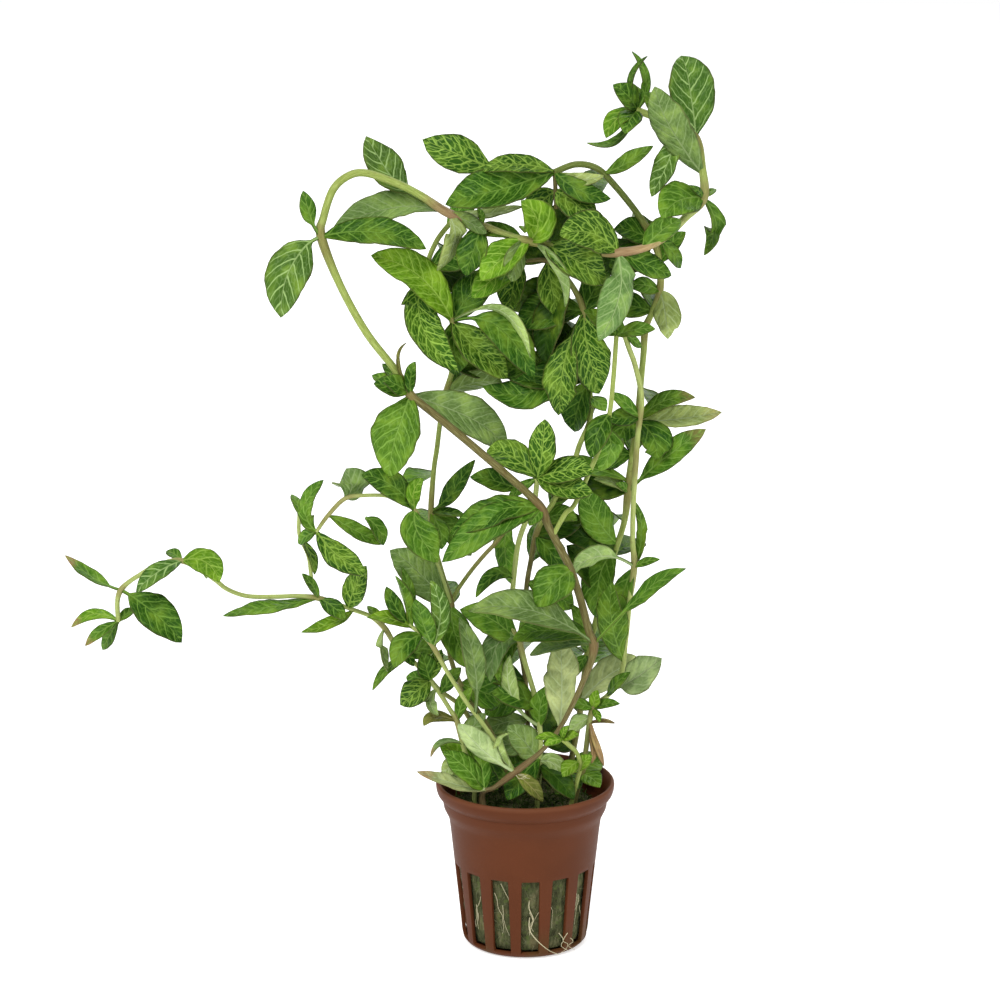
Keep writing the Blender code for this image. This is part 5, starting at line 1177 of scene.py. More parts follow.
@dataclass(frozen=True)
class LeafSkin:
    """The finish of a blade's face.

    Widths and cells of veins are in millimetres, relief_depth in metres. vein_slope and vein_curve
    are how steeply the side veins rise at the rib and how much more towards the margin, and
    vein_offset is how far the two sides' veins are out of step, in spacings.
    """

    name: str
    colour: str
    roughness: float
    vein_share: float
    gloss: float = 0.09
    rib_width: float = 0.5
    side_width: float = 0.32
    net_cell: float = 1.5
    net_width: float = 0.21
    wobble: float = 0.5
    wobble_scale: float = 0.33
    fine_scale: float = 1.4
    patch_scale: float = 0.16
    relief_depth: float = 0.0004
    vein_slope: float = 0.85
    vein_curve: float = 0.42
    vein_offset: float = 0.43
    shadow: Colour = (0.32, 0.42, 0.22)
    gleam: Colour = (0.3, 0.42, 0.04)
    speck: Colour = (0.03, 0.07, 0.01)
    margin: Colour = (0.075, 0.06, 0.02)
    tip: Colour = (0.16, 0.1, 0.04)
    dry: Colour = (0.3, 0.18, 0.08)

    def build(self) -> Material:
        """Make the material.

        Returns:
            The material: leaf colour, midrib, side veins, net veins, a dark margin and relief.
        """
        s = ShaderNodes(self.name)
        across, share = s.number("across"), s.number("share")
        aside, along = s.number("aside"), s.number("along")
        spacing = s.number("spacing")
        outward, reach = abs(across), abs(aside)
        place = s.joined(aside, along, s.number("leaf_number") * 11.3)
        wobble = s.noise(place, self.wobble_scale) - 0.5
        fine = s.noise(place, self.fine_scale) - 0.5
        width = self.rib_width * (1.1 - share * 0.85)
        rib = reach.between(width * 0.75, width * 0.3)
        rise = reach * self.vein_slope + reach * outward * self.vein_curve
        half = across.between(-0.01, 0.01) * self.vein_offset
        course = (along - rise + wobble * self.wobble * 3.2) / spacing + half
        gap = abs(course.fraction() - 0.5)
        distance = gap * spacing * 0.72
        side_width = self.side_width * (1.05 - outward * 0.5)
        sides = distance.between(side_width, side_width * 0.3) * outward.between(1.0, 0.86)
        spread = s.joined(aside * 1.05 + fine * 0.7, course * spacing * 0.8 + wobble * 0.8, 0.0)
        cells = s.edges(spread, 1 / self.net_cell) * self.net_cell
        net = cells.between(self.net_width, self.net_width * 0.2) * outward.between(1.0, 0.9)
        side_share = s.number("side_veins") * self.vein_share
        net_share = s.number("net_veins") * self.vein_share * (0.65 + fine * 0.9)
        veins = (rib * 0.92).larger(sides * side_share).larger(net * net_share)
        leaf = s.colour(self.colour)
        patches = s.noise(place, self.patch_scale, 3)
        deep = s.mix(patches.between(0.62, 0.36) * 0.5, leaf, self.shadow, "MULTIPLY")
        light = s.mix(patches.between(0.45, 0.75) * 0.35, deep, self.gleam, "SCREEN")
        speckled = s.mix((0.5 + fine).between(0.35, 0.8) * 0.18, light, self.speck)
        edged = s.mix(outward.between(0.9, 1.0) * 0.5, speckled, self.margin)
        pointed = s.mix(share.between(0.999, 1.0) * 0.5, edged, self.tip)
        dry = (share + wobble * 0.25).between(0.72, 0.9) * s.number("dry_tip")
        tipped = s.mix(dry, pointed, self.dry)
        veined = s.mix(veins * 0.85, tipped, s.colour("vein_colour"))
        pillow = distance.between(0.0, 1.4) * 0.55 + cells.between(0.0, 0.8) * 0.3
        relief = pillow - rib * 0.35 + fine * 0.14
        roughness = self.roughness + veins * 0.12 + patches * 0.1
        return s.finish(veined, roughness, relief, self.relief_depth, self.gloss, 0.9)


@dataclass(frozen=True)
class StemSkin:
    """The finish of a stem: its tint with lengthwise streaks and brown joints."""

    name: str = "stem skin"
    roughness: float = 0.42
    relief_depth: float = 0.00018
    shadow: Colour = (0.36, 0.4, 0.16)
    gleam: Colour = (0.4, 0.42, 0.2)
    speck: Colour = (0.12, 0.07, 0.03)
    joint: Colour = (0.17, 0.1, 0.045)

    def build(self) -> Material:
        """Make the material.

        Returns:
            The material.
        """
        s = ShaderNodes(self.name)
        place = s.joined(s.number("round") * 2.2, s.number("along") * 0.12, s.number("stem_number"))
        streaks = s.noise(place, 2.4, 3)
        spots = s.noise(s.place(), 900, 3)
        tint = s.colour("tint")
        streaked = s.mix(streaks.between(0.35, 0.7) * 0.4, tint, self.shadow, "MULTIPLY")
        lit = s.mix(streaks.between(0.62, 0.3) * 0.2, streaked, self.gleam, "SCREEN")
        spotted = s.mix(spots.between(0.55, 0.75) * 0.35, lit, self.speck)
        knotted = s.mix(s.number("knot").between(0.0, 0.9) * 0.5, spotted, self.joint)
        relief = streaks * 0.7 + spots * 0.3
        roughness = self.roughness + streaks * 0.15
        return s.finish(knotted, roughness, relief, self.relief_depth, 0.12, 0.6)


class LeafBlades:
    """Sweeps a row of points along each rib, waves the margins and gives the blades a thickness."""

    COLUMNS = 9
    ROWS = 21
    THICKNESS = 0.34
    WAVE = 0.9
    WAVE_SIZE = 0.16
    RAGGED = 0.22
    CUP = 1.4
    BROAD_WAVE = 0.5

    def __init__(self) -> None:
        """Build the tree and the two finishes once, for all stems."""
        self.tree = self.build_tree()
        self.upper = LeafSkin("leaf upper face", "leaf_colour", 0.36, vein_share=1.0).build()
        self.under = LeafSkin("leaf underside", "under_colour", 0.6, vein_share=0.6, gloss=0.03,
                              rib_width=0.7).build()

    @staticmethod
    def build_tree() -> NodeTree:
        """Build the Geometry Nodes tree that makes blades from ribs.

        Returns:
            The tree, with the inputs Columns, Wave, Wave size, Ragged and Finish.
        """
        g = GeometryTree("leaf blades")
        columns, wave = g.size("Columns", int), g.size("Wave")
        wave_size, ragged = g.size("Wave size"), g.size("Ragged")
        finish = g.size("Finish", object)
        curve = g.step("GeometryNodeMeshToCurve", inputs={"Mesh": g.entry.outputs[0]})
        row = g.step("GeometryNodeCurvePrimitiveLine", {"mode": "POINTS"},
                     {"Start": (-1, 0, 0), "End": (1, 0, 0)})
        row = g.step("GeometryNodeResampleCurve", {"mode": "COUNT"},
                     {"Curve": row, "Count": columns})
        row = g.stored(row, "across", g.course("Factor") * 2 - 1)
        sheet = g.step("GeometryNodeCurveToMesh", inputs={"Curve": curve, "Profile Curve": row})
        across, number = g.number("across"), g.number("leaf_number")
        outward = abs(across)
        edge = g.joined(g.number("along") * 0.4, across * 2.0, number * 7.3)
        reach = g.number("reach") * (1 + (g.noise(edge, 1.0, 1) - 0.5) * ragged)
        spot = g.joined(g.number("along") * wave_size, across * 0.7, number * 5.1)
        ripple = (g.noise(spot, 1.0, 1) - 0.5) * wave * g.number("wave") * outward
        broad = (g.noise(spot, 0.4, 0) - 0.5) * LeafBlades.BROAD_WAVE
        lift = outward ** LeafBlades.CUP * g.number("fold") + ripple + broad
        folded = g.direction("face") * (reach * lift)
        surface = g.direction("rib") + g.direction("side") * (across * reach) + folded
        placed = g.step("GeometryNodeSetPosition", inputs={"Geometry": sheet, "Position": surface})
        kept = g.stored(placed, "aside", across * reach * (1 / MM))
        return g.end(g.merged(kept, JOIN_IN_BLADE), finish)

    def build(self, name: str, lines: list[list[dict]]) -> Object:
        """Make the blades of one plant.

        Args:
            name: the piece's name.
            lines: for each leaf the points of its rib with their values.

        Returns:
            The object with all the blades.
        """
        sizes = {"Columns": self.COLUMNS, "Wave": self.WAVE, "Wave size": self.WAVE_SIZE,
                 "Ragged": self.RAGGED}
        solid = {"thickness": self.THICKNESS * MM, "offset": 0.0, "material_offset": 1}
        ribs = line_mesh(f"{name}_ribs", lines)
        return grown(name, ribs, self.tree, sizes, [self.upper, self.under], solid)


class StemTubes:
    """Sweeps a round section along each stem's line."""

    SIDES = 10
    STEP = 0.9
    ROUND = 6
    RIDGES = 4
    GROOVE = 0.06

    def __init__(self) -> None:
        """Build the tree and the finish once, for all stems."""
        self.tree = self.build_tree()
        self.skin = StemSkin().build()

    @staticmethod
    def build_tree() -> NodeTree:
        """Build the Geometry Nodes tree that makes tubes from lines.

        Returns:
            The tree, with the inputs Sides, Step, Groove and Finish.
        """
        g = GeometryTree("stem tubes")
        sides, step = g.size("Sides", int), g.size("Step")
        groove, finish = g.size("Groove"), g.size("Finish", object)
        curve = g.step("GeometryNodeMeshToCurve", inputs={"Mesh": g.entry.outputs[0]})
        curve = g.step("GeometryNodeCurveSplineType", {"spline_type": "CATMULL_ROM"},
                       {"Curve": curve})
        curve = g.step("GeometryNodeResampleCurve", {"mode": "LENGTH"},
                       {"Curve": curve, "Length": step})
        curve = g.stored(curve, "along", g.course("Length") * (1 / MM))
        ring = g.step("GeometryNodeCurvePrimitiveCircle", {"mode": "RADIUS"},
                      {"Resolution": sides, "Radius": 1.0})
        ring = g.stored(ring, "round", g.course("Factor") * StemTubes.ROUND)
        ridge_turn = 2 * math.pi * StemTubes.RIDGES / StemTubes.ROUND
        ridges = (g.number("round") * ridge_turn).cosine()
        inputs = {"Geometry": ring, "Position": g.spot() * (1 + ridges * groove)}
        ring = g.step("GeometryNodeSetPosition", inputs=inputs)
        tube = g.step("GeometryNodeCurveToMesh", inputs={
            "Curve": curve, "Profile Curve": ring, "Scale": g.number("radius"), "Fill Caps": True})
        return g.end(tube, finish)

    def build(self, name: str, lines: list[list[dict]]) -> Object:
        """Make the stems of one plant.

        Args:
            name: the piece's name.
            lines: for each stem the points of its line with their values.

        Returns:
            The object with all the stems.
        """
        sizes = {"Sides": self.SIDES, "Step": self.STEP * MM, "Groove": self.GROOVE}
        return grown(name, line_mesh(f"{name}_lines", lines), self.tree, sizes, [self.skin])


@dataclass
class LeafyStem:
    """One plant of the tables, as two pieces: its stems and its blades.

    fold, wave, bend, droop, shade and warmth are the lowest and highest value that a leaf may draw.
    """

    plant: Plant
    number: int
    stalk_half_width: float = 0.5
    stalk_end: float = 0.5
    blade_lift: float = 0.06
    narrowest: float = 1.0
    fullness_rise: float = 0.95
    fullness_fall: float = 0.85
    away: float = 0.8
    slimness: float = 0.78
    broadening: float = 1.05
    vein_spacing: float = 3.7
    fewest_veins: int = 4
    rib_step: float = 0.05
    droop_start: float = 0.55
    number_step: int = 100
    streak_step: float = 3.7
    fold: tuple[float, float] = (0.08, 0.4)
    wave: tuple[float, float] = (0.4, 1.1)
    bend: tuple[float, float] = (-0.035, 0.035)
    droop: tuple[float, float] = (0.0, 0.5)
    shade: tuple[float, float] = (0.84, 1.16)
    warmth: tuple[float, float] = (0.88, 1.12)

    def rib_point(self, leaf: Leaf, share: float) -> Vector:
        """A point of a leaf's rib before it lifts.

        Args:
            leaf: the leaf.
            share: the share of its length.

        Returns:
            The place in metres.
        """
        start, tip = sighted(leaf.start), sighted(leaf.tip)
        if leaf.via is None:
            return start.lerp(tip, share)
        via = sighted(leaf.via)
        return start.lerp(via, share).lerp(via.lerp(tip, share), share)

    def facing(self, leaf: Leaf, share: float) -> tuple[Vector, Vector]:
        """How a leaf stands at a share of its length.

        Args:
            leaf: the leaf.
            share: the share of its length.

        Returns:
            The way that its upper face looks, and the way that its side runs.
        """
        after = self.rib_point(leaf, min(share + self.rib_step, 1))
        before = self.rib_point(leaf, max(share - self.rib_step, 0))
        along = (after - before).normalized()
        viewer = (metres(EYE) - self.rib_point(leaf, share)).normalized()
        whole = (sighted(leaf.tip) - sighted(leaf.start)).normalized()
        away = abs(whole.dot(viewer)) > self.away
        open_way = Vector((0, 0, 1)) if away else viewer
        open_way = (open_way - along * along.dot(open_way)).normalized()
        side = along.cross(open_way)
        below = side.z < 0 or (abs(side.z) < 1e-4 and side.x < 0)
        upward = -side if below and not away else side
        angle = math.radians(leaf.turn)
        face = open_way * math.cos(angle) + upward * math.sin(angle)
        return face, along.cross(face)

    def fullness(self, share: float) -> float:
        """How wide a blade is at a share of its length, 1 at its widest."""
        rise, fall = self.fullness_rise, self.fullness_fall
        widest = rise / (rise + fall)
        peak = widest ** rise * (1 - widest) ** fall
        return share ** rise * (1 - share) ** fall / peak

    @staticmethod
    def shaded(colour: tuple, shade: float, warmth: float) -> tuple:
        """A colour made lighter by shade and redder by warmth, with its opacity."""
        red, green, blue = colour
        return (red * shade * warmth, green * shade, blue * shade, 1.0)

    def rib(self, leaf: Leaf, number: int) -> list[dict]:
        """The rib of a leaf as points with all that the blade needs.

        Args:
            leaf: the leaf.
            number: its number, which its waves and patches come from.

        Returns:
            The points.
        """
        length = (sighted(leaf.tip) - sighted(leaf.start)).length
        blade = length * (1 - leaf.stalk)
        width = leaf.width / abs(math.cos(math.radians(leaf.turn)))
        half = max(width, self.narrowest) / 2 * MM
        stalk = min(self.stalk_half_width * MM, half)
        half *= self.broadening
        tone = LEAF_TONES[leaf.tone]
        rng = random.Random(number)
        limits = (self.fold, self.wave, self.bend, self.droop, self.shade, self.warmth)
        fold, wave, bend, droop, shade, warmth = (rng.uniform(*pair) for pair in limits)
        veins = max(self.fewest_veins, round(blade / MM / self.vein_spacing))
        points = []
        for row in range(LeafBlades.ROWS):
            share = row / (LeafBlades.ROWS - 1)
            on_blade = max(share - leaf.stalk, 0) / (1 - leaf.stalk)
            face, side = self.facing(leaf, share)
            arch = length * math.sin(math.pi * share)
            lift = self.blade_lift * arch if leaf.via is None else 0
            reach = half * self.fullness(on_blade)
            if on_blade < self.stalk_end:
                reach = max(reach, stalk)
            fall = droop * length * max(on_blade - self.droop_start, 0) ** 2
            place = self.rib_point(leaf, share) + face * (lift - fall) + side * (bend * arch)
            points.append({
                "place": place,
                "rib": place,
                "face": face,
                "side": side,
                "reach": reach,
                "fold": fold,
                "wave": wave,
                "share": on_blade,
                "along": on_blade * blade / MM,
                "spacing": blade / MM / veins,
                "leaf_number": float(number),
                "leaf_colour": self.shaded(tone.upper, shade, warmth),
                "under_colour": self.shaded(tone.under, shade, warmth),
                "vein_colour": self.shaded(tone.vein, shade, 1.0),
                "side_veins": tone.side,
                "net_veins": tone.net,
                "dry_tip": leaf.dry_tip,
            })
        return points

    def line(self, shoot: Shoot, number: int) -> list[dict]:
        """The line of a shoot as points with all that the stem needs.

        Args:
            shoot: the shoot; the plant's first one starts at its foot.
            number: its number, which its streaks come from.

        Returns:
            The points.
        """
        swellings = [point[3] if len(point) > 3 else 1 for point in shoot.route]
        places = [sighted(point) for point in shoot.route]
        marks = [index for index, tint in shoot.tints]
        tints = np.array([tint.value for index, tint in shoot.tints])
        colours = [
            tuple(float(np.interp(index, marks, tints[:, part])) for part in range(3))
            for index in range(len(places))
        ]
        if shoot is self.plant.shoots[0]:
            x, y = self.plant.foot
            places = [metres((x, y, STEM_FOOT)), metres((x, y, STEM_OUT)), *places]
            swellings = [1, 1, *swellings]
            colours = [colours[0], colours[0], *colours]
        return [
            {
                "place": place,
                "radius": self.slimness * shoot.thickness * swelling / 2 * MM,
                "knot": float(swelling > 1),
                "tint": (*colour, 1.0),
                "stem_number": number * self.streak_step,
            }
            for place, swelling, colour in zip(places, swellings, colours)
        ]

    def build(self, tubes: StemTubes, blades: LeafBlades) -> list[Object]:
        """Make the plant's stems and blades.

        Args:
            tubes: what makes the stems.
            blades: what makes the blades.

        Returns:
            The two pieces.
        """
        base = self.number * self.number_step
        lines = [self.line(shoot, base + index) for index, shoot in enumerate(self.plant.shoots)]
        ribs = [self.rib(leaf, base + index) for index, leaf in enumerate(self.plant.leaves)]
        pieces = [
            tubes.build(f"{self.plant.name}_shoots", lines),
            blades.build(f"{self.plant.name}_blades", ribs),
        ]
        for piece in pieces:
            hand_over(piece, self.plant.slot, self.plant.name)
        return pieces


@dataclass(frozen=True)
class PotPlastic:
    """The finish of the pot: brown moulded plastic with scuffs, a painted highlight round the top of the
    rim and a little algae low down.
    """

    colour: Colour = (0.085, 0.0235, 0.0075)
    bleached: Colour = (0.12, 0.034, 0.012)
    # The pale brown of the scuffs, which also paints a highlight round the top of the rim
    wear_and_highlight: Colour = (0.19, 0.075, 0.036)
    algae: Colour = (0.06, 0.055, 0.015)
    roughness: float = 0.38
    relief_depth: float = 0.00012

    def build(self) -> Material:
        """Make the material.

        Returns:
            The material.
        """
        s = ShaderNodes("terracotta plastic")
        place = s.place()
        height = s.height(place)
        cloud = s.noise(place, 60, 3)
        grain = s.noise(place, 2600, 2)
        scuffs = s.noise(place + s.joined(0.0, 0.0, height * 5), 420, 4, 0.7)
        shade = s.mix(cloud.between(0.3, 0.75) * 0.35, self.colour, self.bleached)
        wear_and_highlight = s.mix(scuffs.between(0.62, 0.8) * 0.35, shade, self.wear_and_highlight)
        # Painted highlight: a lighter band round the top of the rim, in the scuffs' pale brown
        rim = height.between((POT_HEIGHT - 1.7) * MM, (POT_HEIGHT - 0.5) * MM) * 0.3
        rim_highlighted = s.mix(rim, wear_and_highlight, self.wear_and_highlight)
        low = height.between(0.012, 0.0) * cloud.between(0.42, 0.6) * 0.4
        damp = s.mix(low, rim_highlighted, self.algae)
        roughness = self.roughness + scuffs * 0.2 + cloud * 0.08
        relief = grain * 0.5 + scuffs * 0.3 + cloud * 0.3
        return s.finish(damp, roughness, relief, self.relief_depth, 0.1, 0.5)


@dataclass
class NetPot:
    """The pot: one sector of its wall with a slot, repeated round the axis, and a turned lip."""

    bevel: float = 0.16
    bevel_above_deg: float = 50.0
    corner_below_deg: float = 130.0
    corner_crease: float = 0.75
    widest_slot: float = 0.8
    slot_columns: tuple[int, int] = (2, 5)
    lip_turns: int = 168

    def profile(self) -> list[tuple[float, float]]:
        """The outer line of the wall from the foot's middle up to the rim, in millimetres.

        Returns:
            The points as (radius, height).
        """
        return [
            (0.0, 0.0), (8.0, 0.0), (FOOT_RADIUS, 0.0), (17.6, 0.5), (CORNER_RADIUS, SLOT_LOW),
            (18.75, 3.6), (WALL_LOW_RADIUS, CORNER_HEIGHT), *self.wall_points(),
            (WALL_TOP_RADIUS, STEP_LOW), (22.75, 39.2), (23.75, 41.1),
            (COLLAR_RADIUS - COLLAR_TAPER, COLLAR_LOW), (COLLAR_RADIUS, POT_HEIGHT - LIP_HEIGHT),
        ]

    @staticmethod
    def wall_points() -> list[tuple[float, float]]:
        """The wall's outer line between the corner and the step.

        Returns:
            The points as (radius, height), one of them at the slots' upper ends.
        """
        heights = (12.0, 18.0, SLOT_HIGH, 31.0)
        rise = WALL_TOP_RADIUS - WALL_LOW_RADIUS
        return [
            (WALL_LOW_RADIUS + rise * (z - CORNER_HEIGHT) / (STEP_LOW - CORNER_HEIGHT), z)
            for z in heights
        ]

    def sector(self) -> Mesh:
        """The share of the wall that one slot takes up, with the slot looking along +X.

        Returns:
            The open sheet, from the foot's middle up to the collar's top.
        """
        half_turn = math.pi / SLOT_COUNT
        sheet = bmesh.new()
        rows = []
        for radius, height in self.profile():
            slot = math.asin(SLOT_WIDTH / 2 / radius) if radius > SLOT_WIDTH / 2 else half_turn
            slot = min(slot, half_turn * self.widest_slot)
            angles = [-half_turn, -(half_turn + slot) / 2, -slot, -slot / 2, 0.0]
            angles += [-angle for angle in reversed(angles[:-1])]
            rows.append([
                sheet.verts.new(metres(turned([(radius, height)], angle)[0])) for angle in angles
            ])
        heights = [height for radius, height in self.profile()]
        first, last = self.slot_columns
        for index, (low, high) in enumerate(zip(rows, rows[1:])):
            open_here = heights[index] >= SLOT_LOW and heights[index + 1] <= SLOT_HIGH
            for column in range(len(low) - 1):
                if open_here and first <= column <= last:
                    continue
                corners = (low[column], low[column + 1], high[column + 1], high[column])
                sheet.faces.new(corners)
        bmesh.ops.remove_doubles(sheet, verts=sheet.verts, dist=JOIN_IN_SHEET)
        return finished(sheet, "pot sector", smooth=False)

    def is_corner(self, vert: bmesh.types.BMVert) -> bool:
        """Whether an open edge turns sharply at this point."""
        ends = [edge.other_vert(vert).co - vert.co for edge in vert.link_edges if edge.is_boundary]
        return len(ends) == 2 and ends[0].angle(ends[1]) < math.radians(self.corner_below_deg)

    @staticmethod
    def build_tree() -> NodeTree:
        """Build the Geometry Nodes tree that repeats a sector round the axis.

        Returns:
            The tree, with the inputs Count, First angle and Finish.
        """
        g = GeometryTree("repeat round the axis")
        count, first = g.size("Count", int), g.size("First angle")
        finish = g.size("Finish", object)
        points = g.step("GeometryNodePoints", inputs={"Count": count})
        index = Value(g, g.add("GeometryNodeInputIndex").outputs[0])
        turn = g.joined(0.0, 0.0, first + index * (2 * math.pi) / count)
        rotation = g.step("FunctionNodeEulerToRotation", inputs={"Euler": turn})
        ring = g.step("GeometryNodeInstanceOnPoints", inputs={
            "Points": points, "Instance": g.entry.outputs[0], "Rotation": rotation})
        real = g.step("GeometryNodeRealizeInstances", inputs={"Geometry": ring})
        return g.end(g.merged(real, JOIN_SECTORS), finish)

    def lip(self) -> list[tuple[float, float]]:
        """The section of the rim's lip as (radius, height) points, in millimetres.

        Returns:
            A closed loop.
        """
        inner, outer = COLLAR_RADIUS - WALL, RIM_RADIUS
        top, low = POT_HEIGHT, POT_HEIGHT - LIP_HEIGHT
        roof = RIM_RADIUS - LIP_WIDTH
        return [
            (inner, low - 0.6), (COLLAR_RADIUS, low - 0.3), (COLLAR_RADIUS + 0.25, low + 0.15),
            (outer - 1.0, low + 0.75), (outer - 0.5, low + 1.5), (outer - 0.15, low + 2.6),
            (outer, top - 1.1), (outer - 0.1, top - 0.5), (outer - 0.4, top - 0.1),
            (outer - 0.75, top), (outer - 1.1, top - 0.2), (roof + 0.3, top - 0.9),
            (roof - 0.3, top - 1.9), (inner + 0.1, low + 1.2),
        ]

    def lip_mesh(self) -> Mesh:
        """The rim's lip, turned round the axis.

        Returns:
            The closed mesh.
        """
        ring = bmesh.new()
        turns = [2 * math.pi * step / self.lip_turns for step in range(self.lip_turns)]
        rows = [[ring.verts.new(metres(p)) for p in turned(self.lip(), angle)] for angle in turns]
        bridge(ring, [*rows, rows[0]])
        return finished(ring, "pot lip")

    def build(self) -> list[Object]:
        """Make the pot: the slotted wall and the lip.

        Returns:
            The two pieces.
        """
        plastic = PotPlastic().build()
        sizes = {"Count": SLOT_COUNT, "First angle": math.radians(FIRST_SLOT_DEG)}
        wall = grown("net_pot_moulding", self.sector(), self.build_tree(), sizes, [plastic])
        work = bmesh.new()
        work.from_mesh(wall.data)
        edges = [float(edge.is_boundary) for edge in work.edges]
        corners = [self.corner_crease * self.is_corner(vert) for vert in work.verts]
        work.free()
        edge_creases = wall.data.attributes.new("crease_edge", "FLOAT", "EDGE")
        edge_creases.data.foreach_set("value", edges)
        point_creases = wall.data.attributes.new("crease_vert", "FLOAT", "POINT")
        point_creases.data.foreach_set("value", corners)
        modify(wall, "smooth", "SUBSURF", levels=2, render_levels=2)
        modify(wall, "shell", "SOLIDIFY", thickness=WALL * MM, offset=-1, use_even_offset=True)
        modify(wall, "soft edges", "BEVEL", width=self.bevel * MM, segments=2,
               limit_method="ANGLE", angle_limit=math.radians(self.bevel_above_deg))
        lip = new_object("net_pot_lip", self.lip_mesh())
        lip.data.materials.append(plastic)
        for piece in (wall, lip):
            hand_over(piece, "terracotta_plastic", "net_pot")
        return [wall, lip]


@dataclass(frozen=True)
class WoolFinish:
    """The finish of the stone wool: matted fibres in olive and brown with green algae."""

    name: str = "stone wool"
    dark: Colour = (0.018, 0.018, 0.008)
    middle: Colour = (0.065, 0.072, 0.03)
    light: Colour = (0.17, 0.17, 0.09)
    algae: Colour = (0.09, 0.13, 0.03)
    soil: Colour = (0.14, 0.085, 0.035)
    relief_depth: float = 0.0009

    def build(self) -> Material:
        """Make the material.

        Returns:
            The material.
        """
        s = ShaderNodes(self.name)
        place = s.place()
        clumps = s.noise(place, 160, 4, 0.6)
        threads = s.noise(s.vector("MULTIPLY", place, (1.0, 1.0, 0.22)), 1500, 4, 0.65)
        flecks = s.noise(place, 700, 2)
        share = clumps * 0.55 + threads * 0.45
        base = s.ramp(share, ((0.36, self.dark), (0.5, self.middle), (0.66, self.light)))
        green = s.mix(flecks.between(0.52, 0.7) * 0.5, base, self.algae)
        brown = s.mix(clumps.between(0.5, 0.68) * 0.3, green, self.soil)
        return s.finish(brown, 0.9, share, self.relief_depth, 0.1, 0.9)


PALE_FIBRE = WoolFinish("pale fibre", (0.06, 0.06, 0.03), (0.14, 0.15, 0.075), (0.3, 0.3, 0.18))
MOSS_GREEN = WoolFinish("moss", (0.012, 0.028, 0.005), (0.035, 0.07, 0.01), (0.08, 0.14, 0.022))


@dataclass
class RootThreads:
    """The thicker roots that leave the slots, and fine ones that wander down the plug's side."""

    radius: float = 0.18
    fine_radius: float = 0.11
    fine_count: int = 46
    fine_points: tuple[int, int] = (5, 9)
    fine_lowest: float = 10.0
    fine_turn: float = 0.05
    fine_fall: tuple[float, float] = (1.4, 3.2)
    clearance: float = 0.12
    taper: float = 0.5
    tint: Colour = (0.53, 0.48, 0.32)
    first_number: float = 50.0

    def line(self, points: list, radius: float, number: int) -> list[dict]:
        """A root's line with all that a tube needs.

        Args:
            points: its route as (x, y, z) points in millimetres.
            radius: its radius in millimetres.
            number: its number, which its streaks come from.

        Returns:
            The points.
        """
        last = len(points) - 1
        return [
            {
                "place": metres(point),
                "radius": radius * (1 - self.taper * index / last) * MM,
                "knot": 0.0,
                "tint": (*self.tint, 1.0),
                "stem_number": self.first_number + number,
            }
            for index, point in enumerate(points)
        ]

    def wandering(self, rng: random.Random) -> list[tuple]:
        """The route of a fine root that wanders down the plug's side.

        Args:
            rng: what its random steps come from.

        Returns:
            Its (x, y, z) points in millimetres.
        """
        angle, height = rng.uniform(0, 2 * math.pi), rng.uniform(self.fine_lowest, SLOT_HIGH)
        drift = rng.uniform(-self.fine_turn, self.fine_turn)
        points = []
        for step in range(rng.randint(*self.fine_points)):
            rise = (height - CORNER_HEIGHT) / (STEP_LOW - CORNER_HEIGHT)
            wall = WALL_LOW_RADIUS + (WALL_TOP_RADIUS - WALL_LOW_RADIUS) * rise
            reach = wall - WALL - GAP + self.clearance
            points += turned([(reach, height)], angle)
            angle += drift + rng.uniform(-self.fine_turn, self.fine_turn)
            height -= rng.uniform(*self.fine_fall)
            if height < CORNER_HEIGHT:
                break
        return points

    def build(self, tubes: StemTubes) -> Object:
        """Make all the roots.

        Args:
            tubes: what makes round stems.

        Returns:
            The piece.
        """
        rng = random.Random(SEED)
        fine = [self.wandering(rng) for number in range(self.fine_count)]
        lines = [self.line(route, self.radius, index) for index, route in enumerate(ROOTS)]
        lines += [
            self.line(route, self.fine_radius, index)
            for index, route in enumerate([*FINE_ROOTS, *fine]) if len(route) > 1
        ]
        return tubes.build("root_threads", lines)


@dataclass(frozen=True)
class Strands:
    """A kind of strand that is strewn over the plug.

    length, thickness, bend and lowest, the height above which they lie, are in millimetres. tilt is
    how far a strand may lean, in radians, and density is how many lie on a square metre.
    """

    name: str
    length: float
    thickness: float
    bend: float
    tilt: float
    density: float
    lowest: float
    seed: int
    rows: int = 5
    least_girth: float = 0.35

    def mesh(self) -> Mesh:
        """One three-sided bent strand that lies along +X, thickest in its middle.

        Returns:
            The closed mesh.
        """
        work = bmesh.new()
        rings = []
        for row in range(self.rows):
            share = row / (self.rows - 1)
            arch = math.sin(math.pi * share)
            girth = self.thickness / 2 * (self.least_girth + (1 - self.least_girth) * arch)
            rings.append([
                work.verts.new(metres((
                    self.length * share,
                    girth * math.cos(angle),
                    self.bend * arch + girth * math.sin(angle))))
                for angle in (0, 2 * math.pi / 3, 4 * math.pi / 3)
            ])
        bridge(work, rings)
        work.faces.new(rings[0][::-1])
        work.faces.new(rings[-1])
        return finished(work, "strand", smooth=False)


FIBRES = Strands("stone_wool_fibres", 3.6, 0.13, 0.25, 0.12, 260000.0, 5.0, SEED)
MOSS = Strands("moss_tufts", 3.0, 0.36, 0.5, 1.2, 900000.0, PLUG_TOP - PLUG_EDGE, SEED + 1)


